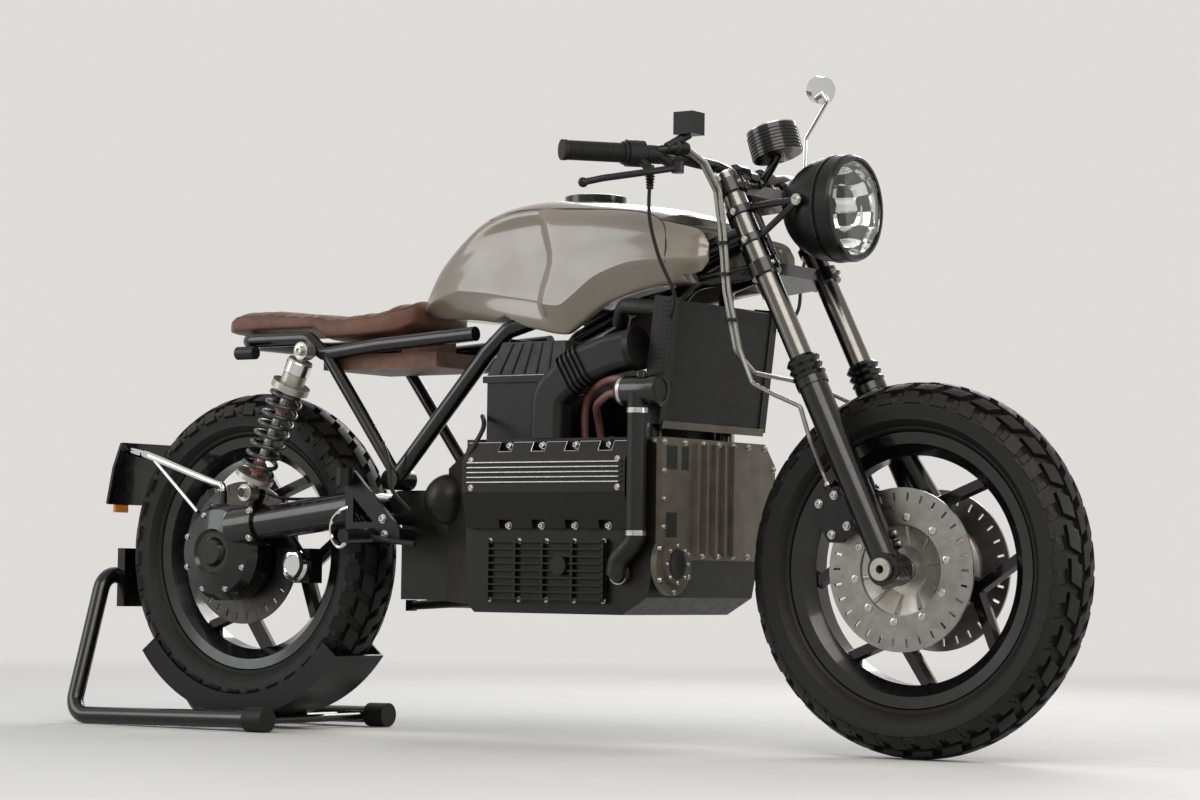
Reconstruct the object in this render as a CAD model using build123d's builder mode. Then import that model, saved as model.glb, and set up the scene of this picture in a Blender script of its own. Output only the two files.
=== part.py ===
# Cafe racer motorcycle held by its rear wheel in a cradle stand.
# Millimetres. X forward, Y to the rider's left, Z up, floor at Z = 0.
import os
from math import atan2, cos, radians, sin, sqrt

from build123d import *

os.makedirs("parts", exist_ok=True)

# Wheels and wheelbase
WHEELBASE = 1516
FRONT_AXLE_X = 777.5          # puts the middle of the whole outline at X = 0
FRONT_TYRE_RADIUS = 329
FRONT_TYRE_WIDTH = 121
REAR_TYRE_RADIUS = 322
REAR_TYRE_WIDTH = 132
REAR_LIFT = 27                # height of the rear tyre above the floor, in the cradle
TYRE_HEIGHT = 89              # from the rim's edge to the tread
FRONT_RIM_RADIUS = FRONT_TYRE_RADIUS - TYRE_HEIGHT
REAR_RIM_RADIUS = REAR_TYRE_RADIUS - TYRE_HEIGHT
FRONT_RIM_HALF_WIDTH = 38
REAR_RIM_HALF_WIDTH = 44
RIM_WALL = 8
HUB_RADIUS = 50
SPOKE_THICKNESS = 30
SPOKE_DRAFT = 14              # degrees, each face of the casting
SPOKE_STEM_WIDTH = 44
SPOKE_ARM_WIDTH = 24
SPOKE_FORK_RADIUS = 128
SPOKE_ARM_SPREAD = 24         # degrees from the stem to each arm's end
SPOKE_START_ANGLE = 73        # degrees from forward to the first stem
SPOKE_COUNT = 4
AXLE_RADIUS = 12.5
AXLE_BORE_RADIUS = 7.5
RUNNING_GAP = 0.4
TOUCH = 0.2                   # between pieces that seat on each other

# Brakes
DISC_RADIUS = 142.5
DISC_INNER_RADIUS = 80
DISC_THICKNESS = 5
DISC_SLOT_RADIUS = 127
DISC_SLOT_COUNT = 30
DISC_SLOT_LENGTH = 14
DISC_SLOT_WIDTH = 4
DISC_PLANE_Y = 66
REAR_DISC_PLANE_Y = -58

# Front fork and steering
RAKE = 26.3                   # degrees from upright
CLAMP_OFFSET = 50             # steering axis behind the fork legs
LEG_SPACING = 205
STANCHION_RADIUS = 20.5
SLIDER_RADIUS = 26
BOOT_RADIUS = 31
BOOT_STATION = 391            # stations are measured up the leg from the axle
BOOT_HEIGHT = 42
LOWER_CLAMP_STATION = 592
UPPER_CLAMP_STATION = 757
LEG_TOP_STATION = 783
SLIDER_BOTTOM = -26
STANCHION_FOOT = 210
CLAMP_THICKNESS = 26
HEAD_TUBE_RADIUS = 30
STEM_RADIUS = 14
STEERING_LOCK = 34            # degrees each way

# Chassis tubes
MAIN_TUBE = 32
RAIL_TUBE = 28
STAY_TUBE = 25
FRAME_HALF_WIDTH = 120

# Engine block and covers, stations from the middle of the wheelbase
ENGINE_REAR = -92
ENGINE_FRONT = 330
ENGINE_TOP = 560
ENGINE_BOTTOM = 242
ENGINE_RIGHT = -195
ENGINE_LEFT = 150
CYLINDER_PITCH = 74.5
CYLINDER_FIRST_X = 10
CYLINDER_COUNT = 4
HEAD_COVER_LEFT = 240

# Headlight
LAMP_X = 624
LAMP_Z = 972
LAMP_RADIUS = 96
LENS_RADIUS = 86

# Cradle stand
STAND_TUBE = 34
STAND_HALF_WIDTH = 186
STAND_FOOT_RADIUS = 24
FOOT_TILT_RISE = 0.47         # keeps the sloping feet on the floor
STAND_REAR_REACH = REAR_TYRE_RADIUS + 21   # rear axle to the middle of the rear bend
CRADLE_GAP = 0.5
CRADLE_SHEET = 4

REAR_AXLE_X = FRONT_AXLE_X - WHEELBASE
FRONT_AXLE_Z = FRONT_TYRE_RADIUS
REAR_AXLE_Z = REAR_TYRE_RADIUS + REAR_LIFT
FRONT_STATION, FRONT_HEIGHT = 758, 329     # the front axle in the lists of points below
REAR_STATION, REAR_HEIGHT = -758, 349      # the rear axle in the same lists
MID = FRONT_AXLE_X - FRONT_STATION
CHASSIS_LIFT = (FRONT_AXLE_Z + REAR_AXLE_Z - FRONT_HEIGHT - REAR_HEIGHT) / 2
LEG_UP = Vector(-sin(radians(RAKE)), 0, cos(radians(RAKE)))
LEG_BACK = Vector(-cos(radians(RAKE)), 0, -sin(radians(RAKE)))
FRONT_AXLE = Vector(FRONT_AXLE_X, 0, FRONT_AXLE_Z)
REAR_AXLE = Vector(REAR_AXLE_X, 0, REAR_AXLE_Z)
HALF_SPACING = LEG_SPACING / 2


def at(x, y, z):
    """A point of the chassis: station forward, left, height."""
    return Vector(MID + x, y, z + CHASSIS_LIFT)


def fore(x, y, z):
    """A point of the steered pieces, carried by the front axle."""
    return FRONT_AXLE + Vector(x - FRONT_STATION, y, z - FRONT_HEIGHT)


def aft(x, y, z):
    """A point carried by the rear axle."""
    return REAR_AXLE + Vector(x - REAR_STATION, y, z - REAR_HEIGHT)


def leg(station, y=0.0, back=0.0):
    """A point on the fork: up the leg from the axle, sideways, and behind the leg."""
    return FRONT_AXLE + LEG_UP * station + LEG_BACK * back + Vector(0, y, 0)


def side(y):
    """Side-view plane at y: local x forward, local y up, extrudes to the right."""
    return Plane(origin=at(0, y, 0), x_dir=(1, 0, 0), z_dir=(0, -1, 0))


def front_view(x):
    """Front-view plane at station x: local x to the left, local y up."""
    return Plane(origin=at(x, 0, 0), x_dir=(0, 1, 0), z_dir=(1, 0, 0))


def tube(points, diameter, bend=0.0):
    """Adds a round bar along straight runs with bends of one radius."""
    with BuildLine() as path:
        if len(points) > 2:
            FilletPolyline(*points, radius=bend)
        else:
            Line(*points)
    with BuildSketch(Plane(origin=points[0], z_dir=points[1] - points[0])) as section:
        Circle(diameter / 2)
    sweep(section.sketch, path=path.line)


def drum(start, end, radius, mode=Mode.ADD):
    """Adds or cuts a cylinder between two points."""
    with BuildSketch(Plane(origin=start, z_dir=end - start)) as section:
        Circle(radius)
    extrude(section.sketch, amount=(end - start).length, mode=mode)


def block(low, high, mode=Mode.ADD, place=at):
    """Adds or cuts a box between two corners of the chassis, or of what `place` gives."""
    size = [high[i] - low[i] for i in range(3)]
    centre = [(high[i] + low[i]) / 2 for i in range(3)]
    with Locations(place(*centre)):
        Box(*size, mode=mode)


def save(part, name):
    part.label = name
    export_step(part, f"parts/{name}.step")


def wheel_axis(centre):
    return Axis(centre, (0, 1, 0))


def radial_plane(centre):
    """Plane through the axle: local x is the radius, local y is across the wheel."""
    return Plane(origin=centre, x_dir=(1, 0, 0), z_dir=(0, 0, 1))


def cast_rim(name, centre, rim_radius, half_width, bore_radius, hub_left, hub_right):
    """Cast wheel: drop-centre rim, hub and four spokes that fork like a Y."""
    bead = rim_radius - 14
    well = rim_radius - 32
    inner = well - RIM_WALL
    outline = [
        (rim_radius, half_width), (rim_radius, half_width - 5), (bead, half_width - 7),
        (bead - 2, 20), (well, 12), (well, -12), (bead - 2, -20),
        (bead, 7 - half_width), (rim_radius, 5 - half_width), (rim_radius, -half_width),
        (bead - 6, 3 - half_width), (inner, -18), (inner, 18), (bead - 6, half_width - 3),
    ]
    with BuildPart() as rim:
        with BuildSketch(radial_plane(centre)):
            Polygon(*outline, align=None)
        revolve(axis=wheel_axis(centre))
        stem_end = SPOKE_FORK_RADIUS + 8
        reach = inner + RIM_WALL / 2
        spread = radians(SPOKE_ARM_SPREAD)
        tip_x, tip_y = reach * cos(spread), reach * sin(spread)
        heel = stem_end - 16
        arm_angle = atan2(tip_y, tip_x - heel)
        step_x = SPOKE_ARM_WIDTH / 2 * sin(arm_angle)
        step_y = SPOKE_ARM_WIDTH / 2 * cos(arm_angle)
        wheel_plane = Plane(origin=centre, x_dir=(1, 0, 0), z_dir=(0, -1, 0))
        with BuildSketch(wheel_plane) as spokes:
            with PolarLocations(0, SPOKE_COUNT, start_angle=SPOKE_START_ANGLE):
                Polygon((0, -24), (stem_end, -SPOKE_STEM_WIDTH / 2),
                        (stem_end, SPOKE_STEM_WIDTH / 2), (0, 24), align=None)
                for hand in (1, -1):
                    Polygon((heel - step_x, hand * step_y), (heel + step_x, -hand * step_y),
                            (tip_x + step_x, hand * (tip_y - step_y)),
                            (tip_x - step_x, hand * (tip_y + step_y)), align=None)
        for way in (1, -1):
            extrude(spokes.sketch, amount=way * SPOKE_THICKNESS / 2, taper=SPOKE_DRAFT)
        drum(centre - Vector(0, hub_right, 0), centre + Vector(0, hub_left, 0), HUB_RADIUS)
        drum(centre - Vector(0, 90, 0), centre + Vector(0, 90, 0), bore_radius, Mode.SUBTRACT)
    save(rim.part, name)


def tyre(name, centre, radius, width, rim_radius, rim_half_width):
    """Tyre with a rounded tread band and upright walls, open inside."""
    bead = rim_radius - 13.6
    bead_y = rim_half_width - 7.6
    half = width / 2
    wall = 10
    crown = 22
    shoulder_r = radius - 30
    shoulder_y = half - 3
    inner_r = rim_radius + 14
    inner_y = rim_half_width - 8
    with BuildPart() as tyre_part:
        with BuildSketch(radial_plane(centre)):
            with BuildLine():
                Polyline((bead, bead_y - 12), (bead, bead_y), (rim_radius + 0.6, bead_y),
                         (rim_radius + 3, rim_half_width + 2))
                ThreePointArc((rim_radius + 3, rim_half_width + 2),
                              (rim_radius + 30, half - 1), (shoulder_r, shoulder_y))
                ThreePointArc((shoulder_r, shoulder_y), (radius, 0), (shoulder_r, -shoulder_y))
                ThreePointArc((shoulder_r, -shoulder_y), (rim_radius + 30, 1 - half),
                              (rim_radius + 3, -rim_half_width - 2))
                Polyline((rim_radius + 3, -rim_half_width - 2), (rim_radius + 0.6, -bead_y),
                         (bead, -bead_y), (bead, 12 - bead_y), (inner_r, -inner_y))
                ThreePointArc((inner_r, -inner_y), (shoulder_r - 14, 2 + wall - half),
                              (radius - crown, 0))
                ThreePointArc((radius - crown, 0), (shoulder_r - 14, half - wall - 2),
                              (inner_r, inner_y))
                Line((inner_r, inner_y), (bead, bead_y - 12))
            make_face()
        revolve(axis=wheel_axis(centre))
    save(tyre_part.part, name)


cast_rim("front_rim", FRONT_AXLE, FRONT_RIM_RADIUS, FRONT_RIM_HALF_WIDTH,
         AXLE_RADIUS + RUNNING_GAP, 42, 42)
tyre("front_tyre", FRONT_AXLE, FRONT_TYRE_RADIUS, FRONT_TYRE_WIDTH, FRONT_RIM_RADIUS,
     FRONT_RIM_HALF_WIDTH)
SPIGOT_RADIUS = 24
cast_rim("rear_rim", REAR_AXLE, REAR_RIM_RADIUS, REAR_RIM_HALF_WIDTH,
         SPIGOT_RADIUS + RUNNING_GAP, 46, -REAR_DISC_PLANE_Y - DISC_THICKNESS / 2)
tyre("rear_tyre", REAR_AXLE, REAR_TYRE_RADIUS, REAR_TYRE_WIDTH, REAR_RIM_RADIUS,
     REAR_RIM_HALF_WIDTH)


def brake_disc(centre, y, inner_radius):
    """One flat slotted disc ring on the wheel axis at height y across the wheel."""
    plane = Plane(origin=centre + Vector(0, y, 0), x_dir=(1, 0, 0), z_dir=(0, -1, 0))
    with BuildSketch(plane) as ring:
        Circle(DISC_RADIUS)
        Circle(inner_radius, mode=Mode.SUBTRACT)
        with PolarLocations(DISC_SLOT_RADIUS, DISC_SLOT_COUNT):
            Rectangle(DISC_SLOT_LENGTH, DISC_SLOT_WIDTH, mode=Mode.SUBTRACT)
    extrude(ring.sketch, amount=DISC_THICKNESS / 2, both=True)


with BuildPart() as front_discs:
    for hand in (1, -1):
        brake_disc(FRONT_AXLE, hand * DISC_PLANE_Y, DISC_INNER_RADIUS)
save(front_discs.part, "front_discs")

# Dished carriers between each disc and the hub
CARRIER_SHEET = 5
with BuildPart() as disc_carriers:
    for hand in (1, -1):
        seat_y = hand * 42
        disc_y = hand * (DISC_PLANE_Y - DISC_THICKNESS / 2)
        with BuildSketch(radial_plane(FRONT_AXLE)):
            Polygon(
                (AXLE_RADIUS + 6, seat_y), (HUB_RADIUS - 1, seat_y),
                (DISC_INNER_RADIUS + 7, disc_y - hand * CARRIER_SHEET),
                (DISC_INNER_RADIUS + 7, disc_y), (DISC_INNER_RADIUS - 2, disc_y),
                (HUB_RADIUS - 8, seat_y + hand * CARRIER_SHEET),
                (AXLE_RADIUS + 6, seat_y + hand * CARRIER_SHEET), align=None)
        revolve(axis=wheel_axis(FRONT_AXLE))
save(disc_carriers.part, "disc_carriers")

with BuildPart() as rear_disc:
    brake_disc(REAR_AXLE, REAR_DISC_PLANE_Y, SPIGOT_RADIUS + 6)
save(rear_disc.part, "rear_disc")

# Front fork: stanchions in sliders that end in the axle lugs
BOOT_TOP = BOOT_STATION + BOOT_HEIGHT / 2
with BuildPart() as stanchions:
    for hand in (1, -1):
        drum(leg(STANCHION_FOOT, hand * HALF_SPACING), leg(LEG_TOP_STATION, hand * HALF_SPACING),
             STANCHION_RADIUS)
save(stanchions.part, "fork_stanchions")

BOOT_RIBS = 3


def boot_ring(y, low, high, low_radius, high_radius):
    """Half a bellows fold round one leg, between two stations."""
    with BuildSketch(Plane(origin=leg(low, y), x_dir=LEG_BACK, z_dir=LEG_UP)) as foot:
        Circle(low_radius)
    with BuildSketch(Plane(origin=leg(high, y), x_dir=LEG_BACK, z_dir=LEG_UP)) as head:
        Circle(high_radius)
    loft([foot.sketch, head.sketch])


AXLE_LUG_RADIUS = 29
AXLE_LUG_HALF_WIDTH = 27
PINCH_BOLT_STATIONS = (34, 54)
SLIDER_TOP = BOOT_STATION - BOOT_HEIGHT / 2
with BuildPart() as sliders:
    for hand in (1, -1):
        y = hand * HALF_SPACING
        drum(leg(SLIDER_BOTTOM, y), leg(SLIDER_TOP, y), SLIDER_RADIUS)
        drum(leg(SLIDER_TOP - 14, y), leg(SLIDER_TOP, y), BOOT_RADIUS - 2)
        for rib in range(BOOT_RIBS):
            low = SLIDER_TOP + rib * BOOT_HEIGHT / BOOT_RIBS
            middle = low + BOOT_HEIGHT / BOOT_RIBS / 2
            boot_ring(y, low, middle, BOOT_RADIUS - 5, BOOT_RADIUS)
            boot_ring(y, middle, low + BOOT_HEIGHT / BOOT_RIBS, BOOT_RADIUS, BOOT_RADIUS - 5)
        drum(leg(0, y - AXLE_LUG_HALF_WIDTH), leg(0, y + AXLE_LUG_HALF_WIDTH), AXLE_LUG_RADIUS)
        for station in PINCH_BOLT_STATIONS:
            drum(leg(station, y - hand * 6, 22), leg(station, y - hand * 6, -33), 8)
        drum(leg(STANCHION_FOOT - 1, y), leg(BOOT_TOP + 1, y), STANCHION_RADIUS + RUNNING_GAP,
             Mode.SUBTRACT)
    drum(leg(0, -LEG_SPACING), leg(0, LEG_SPACING), AXLE_RADIUS + RUNNING_GAP / 2, Mode.SUBTRACT)
save(sliders.part, "fork_sliders")

# Hollow front axle with its hexagon head on the right and its nut on the left
AXLE_REACH = HALF_SPACING + AXLE_LUG_HALF_WIDTH + 2
AXLE_HEAD = 8
with BuildPart() as axle:
    drum(leg(0, -AXLE_REACH), leg(0, AXLE_REACH), AXLE_RADIUS)
    for hand in (1, -1):
        drum(leg(0, hand * AXLE_REACH), leg(0, hand * (AXLE_REACH + AXLE_HEAD)),
             AXLE_RADIUS + 7)
        spacer = [leg(0, hand * y) for y in
                  (HUB_RADIUS - 3, HALF_SPACING - AXLE_LUG_HALF_WIDTH - TOUCH)]
        drum(*spacer, AXLE_RADIUS + 5)
    drum(leg(0, -LEG_SPACING), leg(0, LEG_SPACING), AXLE_BORE_RADIUS, Mode.SUBTRACT)
save(axle.part, "front_axle")


def clamp_plane(station):
    """Plane across the legs: local x back from the legs, local y to the right."""
    return Plane(origin=leg(station), x_dir=LEG_BACK, z_dir=LEG_UP)


CLAMP_BOSS = 28
STEM_BOSS = 26
with BuildPart() as clamps:
    for station in (LOWER_CLAMP_STATION, UPPER_CLAMP_STATION):
        low = station - CLAMP_THICKNESS / 2
        with BuildSketch(clamp_plane(low)):
            with Locations((0, HALF_SPACING), (0, -HALF_SPACING)):
                Circle(CLAMP_BOSS)
            with Locations((CLAMP_OFFSET, 0)):
                Circle(STEM_BOSS)
            Polygon((-8, HALF_SPACING), (-8, -HALF_SPACING), (22, -HALF_SPACING),
                    (CLAMP_OFFSET + 12, -22), (CLAMP_OFFSET + 12, 22), (22, HALF_SPACING),
                    align=None)
        extrude(amount=CLAMP_THICKNESS)
    drum(leg(LOWER_CLAMP_STATION, 0, CLAMP_OFFSET), leg(UPPER_CLAMP_STATION + 20, 0, CLAMP_OFFSET),
         STEM_RADIUS)
    for hand in (1, -1):
        drum(leg(0, hand * HALF_SPACING), leg(LEG_TOP_STATION + 20, hand * HALF_SPACING),
             STANCHION_RADIUS + 0.1, Mode.SUBTRACT)
save(clamps.part, "triple_clamps")

# Handlebar with risers on the upper clamp
BAR_RADIUS = 11
BAR_HALF = [(400, 112, 1046), (372, 232, 1056), (266, 398, 1053)]
RISER_HEIGHT = 25
RISER_BACK = 6
RISER_Y = 42
CLAMP_TOP = UPPER_CLAMP_STATION + CLAMP_THICKNESS / 2
with BuildPart() as handlebar:
    bar_centre = leg(CLAMP_TOP + RISER_HEIGHT, 0, RISER_BACK)
    middle = [bar_centre + Vector(0, hand * (RISER_Y + 22), 0) for hand in (-1, 1)]
    tube([fore(x, -y, z) for x, y, z in reversed(BAR_HALF)] + middle
         + [fore(x, y, z) for x, y, z in BAR_HALF], BAR_RADIUS * 2, 50)
    for hand in (1, -1):
        foot = leg(CLAMP_TOP + 0.1, hand * RISER_Y, RISER_BACK)
        head = leg(CLAMP_TOP + RISER_HEIGHT, hand * RISER_Y, RISER_BACK)
        drum(foot, head, 13)
        drum(head - Vector(0, 14, 0), head + Vector(0, 14, 0), 19)
save(handlebar.part, "handlebar")


def bar_point(fraction, hand, lift=0.0):
    """A point on the straight grip part of the bar: 0 at its inner bend, 1 at its end."""
    inner, outer = (fore(x, hand * y, z) for x, y, z in BAR_HALF[1:])
    return inner + (outer - inner) * fraction + Vector(0, 0, lift)


GRIP_RADIUS = 16.5
GRIP_START = 0.40
with BuildPart() as grips:
    for hand in (1, -1):
        start, end = bar_point(GRIP_START, hand), bar_point(1.02, hand)
        drum(start, end, GRIP_RADIUS)
        drum(start, start + (end - start).normalized() * 7, GRIP_RADIUS + 4)
        drum(end - (end - start).normalized() * 8, end, GRIP_RADIUS + 2)
        drum(start, bar_point(1.001, hand), BAR_RADIUS + 0.1, Mode.SUBTRACT)
save(grips.part, "grips")

# Brake and clutch controls: switch housing, perch, lever and, on the right, reservoir
HOUSING_RADIUS = 24


def control(hand):
    """Switch housing and perch on the bar, with a lever ahead of the grip."""
    drum(bar_point(0.24, hand), bar_point(GRIP_START, hand), HOUSING_RADIUS)
    drum(bar_point(0.06, hand), bar_point(0.22, hand), 17)
    pivot = bar_point(0.04, hand) + Vector(38, hand * 10, -26)
    drum(bar_point(0.12, hand), pivot, 9)
    drum(pivot - Vector(0, 0, 10), pivot + Vector(0, 0, 10), 11)
    lever = [pivot, bar_point(0.35, hand) + Vector(44, hand * 16, -38),
             bar_point(0.72, hand) + Vector(38, hand * 22, -52),
             bar_point(0.88, hand) + Vector(30, hand * 20, -60)]
    tube(lever, 12, 14)
    with Locations(lever[-1]):
        Sphere(9)
    drum(bar_point(0, hand), bar_point(0.5, hand), BAR_RADIUS + 0.2, Mode.SUBTRACT)


RESERVOIR_X = 404
HOSE_PORT_Y = -214
with BuildPart() as brake_control:
    control(-1)
    block((RESERVOIR_X - 20, -232, 1092), (RESERVOIR_X + 20, -192, 1132), place=fore)
    drum(fore(RESERVOIR_X, -212, 1093), bar_point(0.12, -1) + Vector(22, 4, 12), 8)
    drum(fore(398, -229, 1068), bar_point(0.14, -1) + Vector(10, 0, 6), 9)
    drum(fore(398, HOSE_PORT_Y, 1068), fore(396, -240, 1068), 12)
    drum(bar_point(-0.1, -1), bar_point(0.1, -1), BAR_RADIUS + 1.2, Mode.SUBTRACT)
    drum(bar_point(0, -1), bar_point(0.5, -1), BAR_RADIUS + 0.2, Mode.SUBTRACT)
    drum(bar_point(0.32, -1), fore(372, -285, 1024), 8)
    drum(fore(372, -285, 1032), fore(372, -285, 1006), 7)
    drum(bar_point(0, -1), bar_point(0.5, -1), BAR_RADIUS + 0.2, Mode.SUBTRACT)
save(brake_control.part, "brake_control")

with BuildPart() as clutch_control:
    control(1)
save(clutch_control.part, "clutch_control")

# Small mirror on a bent stem on the left
MIRROR_FOOT = bar_point(0.10, 1)
with BuildPart() as side_mirror:
    base = MIRROR_FOOT + Vector(0, 0, 17.3)
    stem = [base, base + Vector(2, 0, 72), base + Vector(52, -6, 138)]
    tube(stem, 9, 20)
    head = stem[-1] + Vector(-14, 0, 22)
    with BuildSketch(Plane(origin=head, x_dir=(0, 1, 0), z_dir=(-1, 0, 0.25))):
        Ellipse(42, 26)
    extrude(amount=6, both=True)
    drum(stem[-1], head, 5)
save(side_mirror.part, "mirror")

# Headlight: bucket, lens and the bracket that clamps it to the legs
REFLECTOR_DEPTH = 60
LENS_DOME = 372               # radius of the lens's outer face
lamp_axis = Axis(fore(0, 0, LAMP_Z), (1, 0, 0))
lamp_section = Plane(origin=fore(0, 0, LAMP_Z), x_dir=(1, 0, 0), z_dir=(0, -1, 0))
with BuildPart() as bucket:
    with BuildSketch(lamp_section):
        with BuildLine():
            Polyline((LAMP_X - REFLECTOR_DEPTH, 0), (LAMP_X - 138, 0), (LAMP_X - 138, 22))
            ThreePointArc((LAMP_X - 138, 22), (LAMP_X - 96, 78), (LAMP_X - 34, LAMP_RADIUS - 2))
            Polyline((LAMP_X - 34, LAMP_RADIUS - 2), (LAMP_X - 30, LAMP_RADIUS),
                     (LAMP_X - 8, LAMP_RADIUS), (LAMP_X, LAMP_RADIUS - 6),
                     (LAMP_X, LENS_RADIUS), (LAMP_X - 12, LENS_RADIUS),
                     (LAMP_X - REFLECTOR_DEPTH, 34), (LAMP_X - REFLECTOR_DEPTH, 0))
        make_face()
    revolve(axis=lamp_axis)
save(bucket.part, "headlight_bucket")


def dome_x(radius):
    """Station of the lens's outer face at a distance from its axis."""
    return LAMP_X + 8 - (LENS_DOME - sqrt(LENS_DOME ** 2 - radius ** 2))


LENS_EDGE = LENS_RADIUS - 0.3
with BuildPart() as lens:
    with BuildSketch(lamp_section):
        with BuildLine():
            Polyline((LAMP_X + 8, 0), (LAMP_X - 11.5, 0), (LAMP_X - 11.5, LENS_EDGE),
                     (dome_x(LENS_EDGE), LENS_EDGE))
            ThreePointArc((dome_x(LENS_EDGE), LENS_EDGE), (dome_x(LENS_EDGE / 2), LENS_EDGE / 2),
                          (LAMP_X + 8, 0))
        make_face()
    revolve(axis=lamp_axis)
save(lens.part, "headlight_lens")

LAMP_PIVOT = fore(LAMP_X - 62, 0, LAMP_Z + 8)
BRACKET_STATIONS = (650, 707)
with BuildPart() as lamp_bracket:
    for hand in (1, -1):
        y = hand * HALF_SPACING
        ear = Vector(LAMP_PIVOT.X, hand * (LAMP_RADIUS + 2), LAMP_PIVOT.Z)
        for station in BRACKET_STATIONS:
            drum(leg(station - 7, y), leg(station + 7, y), 26)
            drum(leg(station, y, -22), ear, 6)
        drum(ear - Vector(0, hand * 3.4, 0), ear + Vector(0, hand * 8, 0), 11)
        drum(leg(0, y), leg(LEG_TOP_STATION, y), STANCHION_RADIUS + 0.1, Mode.SUBTRACT)
save(lamp_bracket.part, "headlight_bracket")

# Round gauge tilted back towards the rider, on a stay from the upper clamp
GAUGE_CENTRE = fore(450, 0, 1100)
GAUGE_AXIS = Vector(-0.30, 0, 0.954)
with BuildPart() as gauge:
    drum(GAUGE_CENTRE - GAUGE_AXIS * 26, GAUGE_CENTRE + GAUGE_AXIS * 26, 46)
    drum(GAUGE_CENTRE - GAUGE_AXIS * 25, leg(CLAMP_TOP + 3, 0, -10), 8)
    drum(leg(CLAMP_TOP + 0.1, 0, -10), leg(CLAMP_TOP + 8, 0, -10), 10)
save(gauge.part, "gauge")

# Two-piston calipers over the front discs, on lugs behind the legs
CALIPER_STATIONS = (94, 182)  # along the leg
CALIPER_BACK = (32, 98)       # behind the leg's axis
CALIPER_HALF_WIDTH = 28
CALIPER_SLOT = DISC_THICKNESS + 3
BANJO_STATION, BANJO_Y, BANJO_BACK = 192, 80, 60
with BuildPart() as calipers:
    for hand in (1, -1):
        middle_station, middle_back = sum(CALIPER_STATIONS) / 2, sum(CALIPER_BACK) / 2
        caliper_plane = Plane(origin=leg(middle_station, hand * DISC_PLANE_Y, middle_back),
                              x_dir=LEG_BACK, z_dir=(0, -1, 0))
        with BuildSketch(caliper_plane.offset(-CALIPER_HALF_WIDTH)):
            RectangleRounded(CALIPER_BACK[1] - CALIPER_BACK[0],
                             CALIPER_STATIONS[1] - CALIPER_STATIONS[0], 14)
        extrude(amount=2 * CALIPER_HALF_WIDTH)
        slot = [leg(0, hand * DISC_PLANE_Y + side_y) for side_y in
                (-CALIPER_SLOT / 2, CALIPER_SLOT / 2)]
        drum(*slot, DISC_RADIUS + 2, Mode.SUBTRACT)
        for station in CALIPER_STATIONS:
            inset = 14 if station == CALIPER_STATIONS[0] else -14
            drum(leg(station + inset, hand * (DISC_PLANE_Y + 19), 45),
                 leg(station + inset, hand * (HALF_SPACING - 8), SLIDER_RADIUS + 0.2), 8)
        drum(leg(CALIPER_STATIONS[1] - 2, hand * BANJO_Y, BANJO_BACK),
             leg(BANJO_STATION, hand * BANJO_Y, BANJO_BACK), 8)
        drum(leg(0, hand * HALF_SPACING), leg(BOOT_STATION, hand * HALF_SPACING),
             SLIDER_RADIUS + 0.1, Mode.SUBTRACT)
save(calipers.part, "front_calipers")

# Braided brake hoses from the right-hand control down to each caliper
HOSE = 8
HOSE_PITCH = 10
HOSE_SOURCE = [(403, HOSE_PORT_Y + 2.6, 1068), (414, -170, 1046), (424, -140, 1000),
               (431, -134, 930), (441, -132, 819), (464, -130, 714)]
HOSE_LOWER = [(490, 130, 655), (523, 130, 639), (590, 130, 612), (606, 122, 553)]
with BuildPart() as hoses:
    banjo = leg(BANJO_STATION + TOUCH, -BANJO_Y, BANJO_BACK)
    right = [fore(x, y, z) for x, y, z in HOSE_SOURCE]
    right += [fore(x, -y, z) for x, y, z in HOSE_LOWER] + [banjo + LEG_UP * 30, banjo]
    tube(right, HOSE, 12)
    banjo = leg(BANJO_STATION + TOUCH, BANJO_Y, BANJO_BACK)
    left = [fore(x - HOSE_PITCH, y, z) for x, y, z in HOSE_SOURCE]
    left += [fore(470, -90, 676), fore(486, 80, 664)]
    left += [fore(x, y, z) for x, y, z in HOSE_LOWER[1:]] + [banjo + LEG_UP * 30, banjo]
    tube(left, HOSE, 12)
save(hoses.part, "brake_hoses")

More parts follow.
